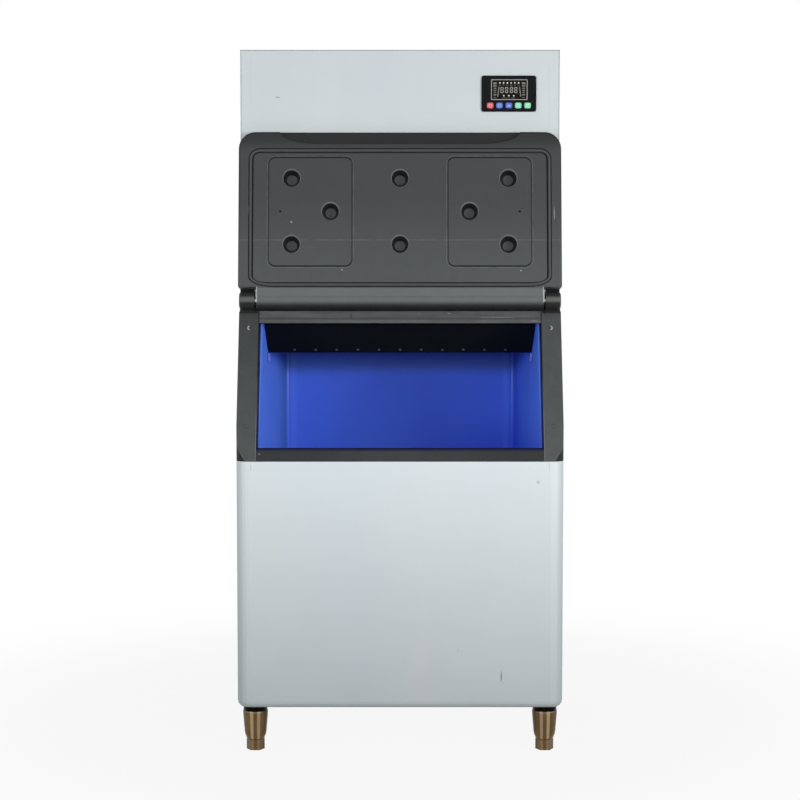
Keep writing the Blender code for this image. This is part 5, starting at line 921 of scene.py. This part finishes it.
def charcoal_door(name):
    """The door's black plastic, with painted light and shade: darker towards the top and lighter towards
    the hinge, painted shade in its grooves, grip, dimples and vents, and painted shade and highlights on
    the lines round the two raised pads.
    """
    f = Finish(name)
    x, y, z = f.axes()
    up = (z - HINGE_Z) * math.cos(DOOR_LEAN) + (y - HINGE_Y) * math.sin(DOOR_LEAN)
    out = (z - HINGE_Z) * math.sin(DOOR_LEAN) - (y - HINGE_Y) * math.cos(DOOR_LEAN)
    skin = f.noise(1000.0, 2.0)
    mottle = f.noise(40.0, 5.0, roughness=0.7)
    cloud = f.noise(4.0, 3.0, (1.0, 1.0, 1.6))
    # painted light and shade: darker towards the top and at the side edges, lighter towards the hinge, and
    # the hinge beam lit above and dark below
    tone = f.mix((0.019, 0.021, 0.023), (0.050, 0.054, 0.058), up.rise(0.386, 0.346))
    tone = f.mix(tone, (0.024, 0.026, 0.028), abs(x).rise(0.372, 0.381) * 0.6)
    tone = f.mix(tone, (0.074, 0.080, 0.082), up.rise(0.26, 0.05))
    tone = f.mix(tone, (0.134, 0.142, 0.144), up.rise(0.030, 0.026))
    tone = f.mix(tone, (0.020, 0.0215, 0.023), (z - HINGE_Z).rise(0.003, -0.013))
    tone = f.tinted(tone, 0.55 + mottle * 0.18 + cloud * 0.16)
    photo_side = out.rise(DIMPLE_FLOOR - 0.0030, DIMPLE_FLOOR - 0.0016)
    # painted shade: dark in the grip recess
    grip_x = ((abs(x) - GRIP_ARC_X) / GRIP_ARC_REACH).most(0.0)
    grip_up = (DOOR_TOP - up) / GRIP_DROP
    grip = (grip_x * grip_x + grip_up * grip_up).rise(1.04, 0.96)
    tone = f.mix(tone, (0.0050, 0.0060, 0.0068), grip * photo_side)
    inside = out.rise(DOOR_FACE - 0.0036, DOOR_FACE - 0.0020)
    # painted shade: dark in the groove round the door's edge
    groove_side = abs(x).rise(0.3425, 0.3435) * up.rise(0.0285, 0.0295) * up.rise(0.3610, 0.3602)
    groove_row = (up.rise(0.0450, 0.0440) + up.rise(0.3455, 0.3465)).least(1.0) * up.rise(0.0285, 0.0295)
    groove_row = groove_row * up.rise(0.3610, 0.3602)
    groove = (groove_side + groove_row).least(1.0) * abs(x).rise(0.3580, 0.3574)
    groove = groove * out.rise(DOOR_FACE - 0.0010, DOOR_FACE - 0.0024)
    tone = f.mix(tone, (0.0050, 0.0055, 0.0060), groove * photo_side * 0.9)
    # painted highlight: a pale line at each end of the hinge beam
    painted_beam_end_highlight = abs(x).band(0.3368, 0.0008, 0.0008) * up.rise(0.031, 0.029)
    painted_beam_end_highlight = painted_beam_end_highlight * (z - HINGE_Z).rise(-0.004, -0.001)
    tone = f.mix(tone, (0.380, 0.395, 0.395), painted_beam_end_highlight * 0.8)
    # painted shade: dark inside the dimples
    painted_dimple_shade = (1.0 - inside) * photo_side
    painted_dimple_shade = painted_dimple_shade * up.rise(0.050, 0.052) * up.rise(0.3625, 0.3610) * abs(x).rise(0.300, 0.298)
    tone = f.mix(tone, (0.0060, 0.0066, 0.0072), painted_dimple_shade * 0.85)
    # painted light: the dimple floors lighter
    painted_dimple_floor_light = out.band(DIMPLE_FLOOR, 0.0012, 0.0012) * painted_dimple_shade
    tone = f.mix(tone, (0.066, 0.070, 0.072), painted_dimple_floor_light)
    across = abs(abs(x) - PAD_X) - (PAD_HALF_X - PAD_ROUND)
    along = abs(up - PAD_UP) - (PAD_HALF_UP - PAD_ROUND)
    square_x = across.most(0.0)
    square_up = along.most(0.0)
    edge = (square_x * square_x + square_up * square_up) ** 0.5 + across.most(along).least(0.0) - PAD_ROUND
    patchy = f.noise(60.0, 3.0).rise(0.25, 0.65)
    flat = (along - across).rise(-0.012, 0.0) * 0.62 + 0.38
    # painted shade: a dark line in the groove round each pad, stronger along its top and bottom
    tone = f.mix(tone, (0.0030, 0.0034, 0.0038), edge.band(-0.0016, 0.0015, 0.0008) * inside * flat)
    # painted highlight: a broken pale line just outside it
    tone = f.mix(tone, (0.130, 0.138, 0.140), edge.band(0.0016, 0.0004, 0.0011) * patchy * inside * 0.45)
    # painted highlight: a pale arc at the top of each dimple's rim
    pair = abs(up - DIMPLE_PAIR_UP - DIMPLE_SHADE) - DIMPLE_PAIR_HALF
    lone = up - DIMPLE_PAIR_UP - DIMPLE_SHADE
    in_middle = (x * x + pair * pair) ** 0.5
    out_wide = ((abs(x) - DIMPLE_OUTER_X) ** 2.0 + pair * pair) ** 0.5
    in_pad = ((abs(x) - DIMPLE_PAD_X) ** 2.0 + lone * lone) ** 0.5
    nearest = in_middle.least(out_wide).least(in_pad)
    tone = f.mix(tone, (0.150, 0.158, 0.160), nearest.rise(0.0224, 0.0208) * inside * 0.55)
    # painted shade: near black in the vent holes
    vent_x = abs(x) - VENT_X
    vent_up = up - DIMPLE_PAIR_UP
    vent = ((vent_x * vent_x + vent_up * vent_up) ** 0.5).rise(0.0036, 0.0026)
    tone = f.mix(tone, (0.002, 0.002, 0.003), vent * photo_side)
    line = up.band(0.1415, 0.0006, 0.0010) * f.noise(26.0, 2.0, (1.0, 0.0, 0.0)).rise(0.35, 0.60)
    tone = f.mix(tone, (0.15, 0.158, 0.16), line * inside * 0.35)
    speck = f.cells(70.0, shift=(0.3, 0.1, 0.6)).rise(0.040, 0.020)
    tone = f.mix(tone, (0.24, 0.25, 0.25), speck * 0.18)
    for middle, reach, strength in DOOR_MARKS:
        wobble = (f.noise(220.0, 3.0) - 0.5) * 1.0
        tone = f.mix(tone, (0.34, 0.35, 0.35), f.dab(middle, reach, wobble) * photo_side * strength)
    normal = f.bump(skin, 0.12, 0.0004, f.bump(mottle, 0.05, 0.001))
    return f.surface(tone, 0.46 + mottle * 0.16, 0.0, normal, Specular_IOR_Level=0.2)


DOOR_BLACK = charcoal_door("door_charcoal")

LEG_SPOTS = ("front_left", "front_right", "rear_left", "rear_right")

# Which nodes each finish goes on
NODES_OF = (
    (BRACKET_REFLECTION_BLUE, ("baffle_bracket_left", "baffle_bracket_right")),
    (ZINC, ("bin_back_panel", "bin_base_pan", "fan_shroud", "head_back_panel", "head_base")),
    (STEEL, ("bin_wrap", "head_front_panel", "head_left_panel", "head_right_panel", "head_top_cover")),
    (SHAFT, ("auger", "hinge_pin_left", "hinge_pin_right", "water_inlet")),
    (PLAIN, ("evaporator_drum",)),
    # painted shade: the bin's steel top deck is coloured black for the door's shadow over it
    (SHROUD_BLACK_AND_DECK_SHADE, ("bin_top_deck", "cable_gland", "fan_blade", "power_switch")),
    (POT_BLACK, ("compressor",)),
    (PANEL_BLACK, ("control_fascia",)),
    (DOOR_BLACK, ("door",)),
    (FRAME_BLACK, ("frame_header", "frame_post_left", "frame_post_right", "frame_sill")),
    (BAFFLE_BLACK, ("ice_baffle",)),
    (RUBBER, ("door_bumper_left", "door_bumper_right", "door_gasket")),
    (WHITE, ("drain_fitting", "float_arm", "ice_chute", "water_tank")),
    (MOTOR_GREY, ("fan_motor", "gear_motor")),
    (COPPER, ("discharge_tube", "filter_drier", "liquid_tube")),
    (FINS, ("condenser_coil",)),
    (BOARD, ("control_board",)),
    (GLASS, ("display_window",)),
    (FOAM, ("foam_insulation",)),
    (BLUE, ("ice_liner",)),
    (RED_ROCKER, ("switch_rocker",)),
    (BRONZE, [kind + spot for kind in ("foot_", "leg_") for spot in LEG_SPOTS]),
)
for material, nodes in NODES_OF:
    for node in nodes:
        NODES[node].data.materials.clear()
        NODES[node].data.materials.append(material)

# Seal and lips of the door, brackets and studs of the baffle
SEAL_RADIUS = 0.0034
SEAL_OUT = DOOR_FACE - 0.0022
SEAL_HALF_X = 0.3522
SEAL_LOW = 0.0358
SEAL_HIGH = 0.3549
SEAL_CORNER = 0.021
SEAL_LOW_STRETCH = 2.3
SEAL_STEPS = 8
STUD_COUNT = 11
STUD_SPACING = 0.0515
STUD_MIDDLE = Vector((0.0, -0.14359, 0.93487))
BAFFLE_OUT = Vector((0.0, -0.6247, -0.7809))
BAFFLE_SHEET = 0.002
BRACKET_FACE = 0.0055
STUD_RADIUS = 0.0040
STUD_HEIGHT = 0.0027
SHELL_LIP_LOW = (0.3440, -0.0190, 0.0216)
SHELL_LIP_HIGH = (0.3770, -0.0100, 0.0300)


def door_point(x, up, out):
    """A place on the open door: across, up from its hinge and out of its inner side."""
    lean = DOOR_LEAN
    y = HINGE_Y + up * math.sin(lean) - out * math.cos(lean)
    z = HINGE_Z + up * math.cos(lean) + out * math.sin(lean)
    return Vector((x, y, z))


def seal_path():
    """The seal's middle line: round upper corners, and lower corners that run out along the hinge side."""
    corners = (
        (SEAL_HALF_X, SEAL_HIGH, 1, 1, SEAL_CORNER, 0.0),
        (-SEAL_HALF_X, SEAL_HIGH, -1, 1, SEAL_CORNER, 90.0),
        (-SEAL_HALF_X, SEAL_LOW, -1, -1, SEAL_CORNER * SEAL_LOW_STRETCH, 180.0),
        (SEAL_HALF_X, SEAL_LOW, 1, -1, SEAL_CORNER * SEAL_LOW_STRETCH, 270.0),
    )
    points = []
    for x, up, side, top, reach, first in corners:
        middle_x = x - side * reach
        middle_up = up - top * SEAL_CORNER
        for step in range(SEAL_STEPS + 1):
            turn = math.radians(first + 90.0 * step / SEAL_STEPS)
            place = (middle_x + reach * math.cos(turn), middle_up + SEAL_CORNER * math.sin(turn))
            points.append(door_point(*place, SEAL_OUT))
    return points


def make_seal():
    """A round rubber seal that runs in the door's groove."""
    curve = bpy.data.curves.new("door_seal", "CURVE")
    curve.dimensions = "3D"
    curve.bevel_depth = SEAL_RADIUS
    curve.bevel_resolution = 4
    spline = curve.splines.new("POLY")
    points = seal_path()
    spline.points.add(len(points) - 1)
    for point, place in zip(spline.points, points):
        point.co = (*place, 1.0)
    spline.use_cyclic_u = True
    seal = bpy.data.objects.new("door_seal", curve)
    bpy.context.scene.collection.objects.link(seal)
    take_up(seal)
    bpy.ops.object.convert(target="MESH")
    seal = settle(bpy.context.object, "door_seal")
    return dressed(seal, SEAL_RUBBER, "door", "rubber", "door_gasket")


def make_bracket_faces():
    """The front leg of each bracket under the baffle, which is an angle with rounded corners."""
    for side_name, sign in (("left", -1), ("right", 1)):
        low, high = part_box("baffle_bracket_" + side_name)
        wall = max(abs(low.x), abs(high.x))
        near, far = sorted((sign * (wall - BRACKET_FACE), sign * wall))
        foot = (near, low.y - 0.0012, low.z + 0.002)
        face = block("bracket_face_" + side_name, foot, (far, low.y, high.z))
        round_edges(face, runs_back, 0.0014, 3)
        pick_faces(face, faces_front)
        bpy.ops.mesh.inset(thickness=0.0008, depth=0.0003)
        put_down()
        dressed(face, BRACKET_REFLECTION_BLUE, "cabinet", "bare_steel")


def make_studs():
    """Domed studs along the baffle's lower edge. One is made and the rest are its copies."""
    put_down()
    middle = STUD_MIDDLE + BAFFLE_OUT * BAFFLE_SHEET
    bpy.ops.mesh.primitive_uv_sphere_add(segments=16, ring_count=10, radius=1.0, location=middle)
    dome = bpy.context.object
    dome.scale = (STUD_RADIUS, STUD_RADIUS, STUD_HEIGHT)
    dome.rotation_euler = BAFFLE_OUT.to_track_quat("Z", "Y").to_euler()
    dome = settle(dome, "stud")
    take_up(dome)
    bpy.ops.object.mode_set(mode="EDIT")
    bpy.ops.mesh.select_all(action="SELECT")
    bpy.ops.mesh.bisect(plane_co=middle, plane_no=BAFFLE_OUT, use_fill=True, clear_inner=True)
    put_down()
    first = -STUD_SPACING * (STUD_COUNT - 1) / 2
    studs = [copied(dome, "stud_copy", (first + STUD_SPACING * n, 0.0, 0.0)) for n in range(STUD_COUNT)]
    bpy.data.objects.remove(dome)
    return dressed(joined("baffle_studs", studs), STUD_GREY, "cabinet", "bare_steel")


def make_shell_lips():
    """The edge of the door's outer shell, which reaches lower than its inner side by each hinge."""
    lips = []
    for side in (-1, 1):
        low_x, high_x = sorted((side * SHELL_LIP_LOW[0], side * SHELL_LIP_HIGH[0]))
        low = (low_x, -SHELL_LIP_HIGH[1], SHELL_LIP_LOW[2])
        high = (high_x, -SHELL_LIP_LOW[1], SHELL_LIP_HIGH[2])
        lip = block("shell_lip", low, high)
        round_edges(lip, lambda direction, middle: middle.z < SHELL_LIP_LOW[2] + 0.0001, 0.0012, 3)
        lips.append(lip)
    whole = joined("door_shell_lips", lips)
    whole.rotation_euler = (-DOOR_LEAN, 0.0, 0.0)
    whole.location = (0.0, HINGE_Y, HINGE_Z)
    settle(whole, "door_shell_lips")
    return dressed(whole, SHELL_LIP_SHADE, "door", "black_plastic")


# painted shade: the shell lips coloured near black, darker than the door, for the shade by the hinges
SHELL_LIP_SHADE = moulded_black("shell_lip_shade", (0.006, 0.0065, 0.007), 0.55, 0.10, 0.1)
SEAL_RUBBER = moulded_black("seal_rubber", (0.052, 0.056, 0.058), 0.55, 0.10)
STUD_GREY = plain_steel("stud_grey", (0.075, 0.080, 0.086), 0.45)
make_seal()
make_bracket_faces()
make_studs()
make_shell_lips()

# Camera and lights
camera = bpy.data.objects.new("camera", bpy.data.cameras.new("camera"))
bpy.context.scene.collection.objects.link(camera)
camera.location = CAMERA_PLACE
camera.rotation_euler = (CAMERA_PITCH, 0.0, 0.0)
camera.data.sensor_width = 36.0
camera.data.lens = CAMERA_LENS
camera.data.clip_end = 60.0
bpy.context.scene.camera = camera


def panel_light(name, place, aim, size, watts):
    """A large soft lamp, turned towards aim."""
    lamp = bpy.data.lights.new(name, "AREA")
    lamp.shape = "RECTANGLE"
    lamp.size, lamp.size_y = size
    lamp.energy = watts
    holder = bpy.data.objects.new(name, lamp)
    holder.location = place
    direction = Vector(aim) - Vector(place)
    holder.rotation_euler = direction.to_track_quat("-Z", "Y").to_euler()
    bpy.context.scene.collection.objects.link(holder)


# Name, place, aim, size and watts of each light
LIGHTS = (
    ("front_light", (0.4, -5.0, 1.36), (0.0, -0.3, 1.0), (5.0, 0.5), 64.0),
    ("right_light", (2.8, -3.2, 1.30), (-0.2, 0.0, 0.8), (1.4, 0.7), 92.0),
    ("left_light", (-2.8, -3.2, 1.30), (0.2, 0.0, 0.8), (1.4, 0.7), 50.0),
    ("key_light", (-1.2, -3.2, 3.4), (0.0, -0.3, 1.2), (2.6, 1.8), 15.0),
    ("back_light", (0.0, 3.4, 3.2), (0.0, 0.3, 1.0), (2.6, 1.6), 50.0),
)
for light in LIGHTS:
    panel_light(*light)

# Floor and world
FLOOR_RADIUS = 14.0
SKY_LIGHT = 0.28


def pale_floor(name):
    """Pale floor that keeps the object's shadow near it and is white further off."""
    f = Finish(name)
    x, y, _ = f.axes()
    grain = f.noise(40.0, 3.0)
    away = (x * x + y * y) ** 0.5
    matte = f.node("ShaderNodeBsdfDiffuse", {}, {0: f.tinted((0.42, 0.42, 0.42), 0.97 + grain * 0.04)})
    white = f.node("ShaderNodeEmission", {}, {0: (1.0, 1.0, 1.0, 1.0), 1: 1.0})
    sight = f.node("ShaderNodeLightPath")
    rays = sight.source.node.outputs
    seen = Wire(f, rays[0]).most(Wire(f, rays["Is Glossy Ray"])).most(Wire(f, rays["Is Transmission Ray"]))
    share = seen * (0.90 + away.rise(0.7, 1.8) * 0.10)
    return f.close(f.node("ShaderNodeMixShader", {}, {0: share, 1: matte, 2: white}))


put_down()
under = (0.0, 0.0, -0.0005)
bpy.ops.mesh.primitive_circle_add(vertices=64, radius=FLOOR_RADIUS, fill_type="NGON", location=under)
floor = settle(bpy.context.object, "floor")
floor.data.materials.append(pale_floor("pale_floor"))
put_down()


def studio_world():
    """Even soft light, and white where the camera, a reflection or glass looks at it."""
    world = bpy.data.worlds.new("studio")
    world.use_nodes = True
    tree = world.node_tree
    tree.nodes.clear()
    sight = tree.nodes.new("ShaderNodeLightPath")
    seen = tree.nodes.new("ShaderNodeMath")
    seen.operation = "MAXIMUM"
    tree.links.new(sight.outputs["Is Camera Ray"], seen.inputs[0])
    tree.links.new(sight.outputs["Is Glossy Ray"], seen.inputs[1])
    clear = tree.nodes.new("ShaderNodeMath")
    clear.operation = "MAXIMUM"
    tree.links.new(seen.outputs[0], clear.inputs[0])
    tree.links.new(sight.outputs["Is Transmission Ray"], clear.inputs[1])
    strength = tree.nodes.new("ShaderNodeMapRange")
    strength.inputs["To Min"].default_value = SKY_LIGHT
    strength.inputs["To Max"].default_value = 1.0
    tree.links.new(clear.outputs[0], strength.inputs["Value"])
    glow = tree.nodes.new("ShaderNodeBackground")
    glow.inputs["Color"].default_value = (1.0, 1.0, 1.0, 1.0)
    tree.links.new(strength.outputs[0], glow.inputs["Strength"])
    output = tree.nodes.new("ShaderNodeOutputWorld")
    tree.links.new(glow.outputs[0], output.inputs["Surface"])
    return world


bpy.context.scene.world = studio_world()
bpy.context.scene.view_settings.view_transform = "Standard"
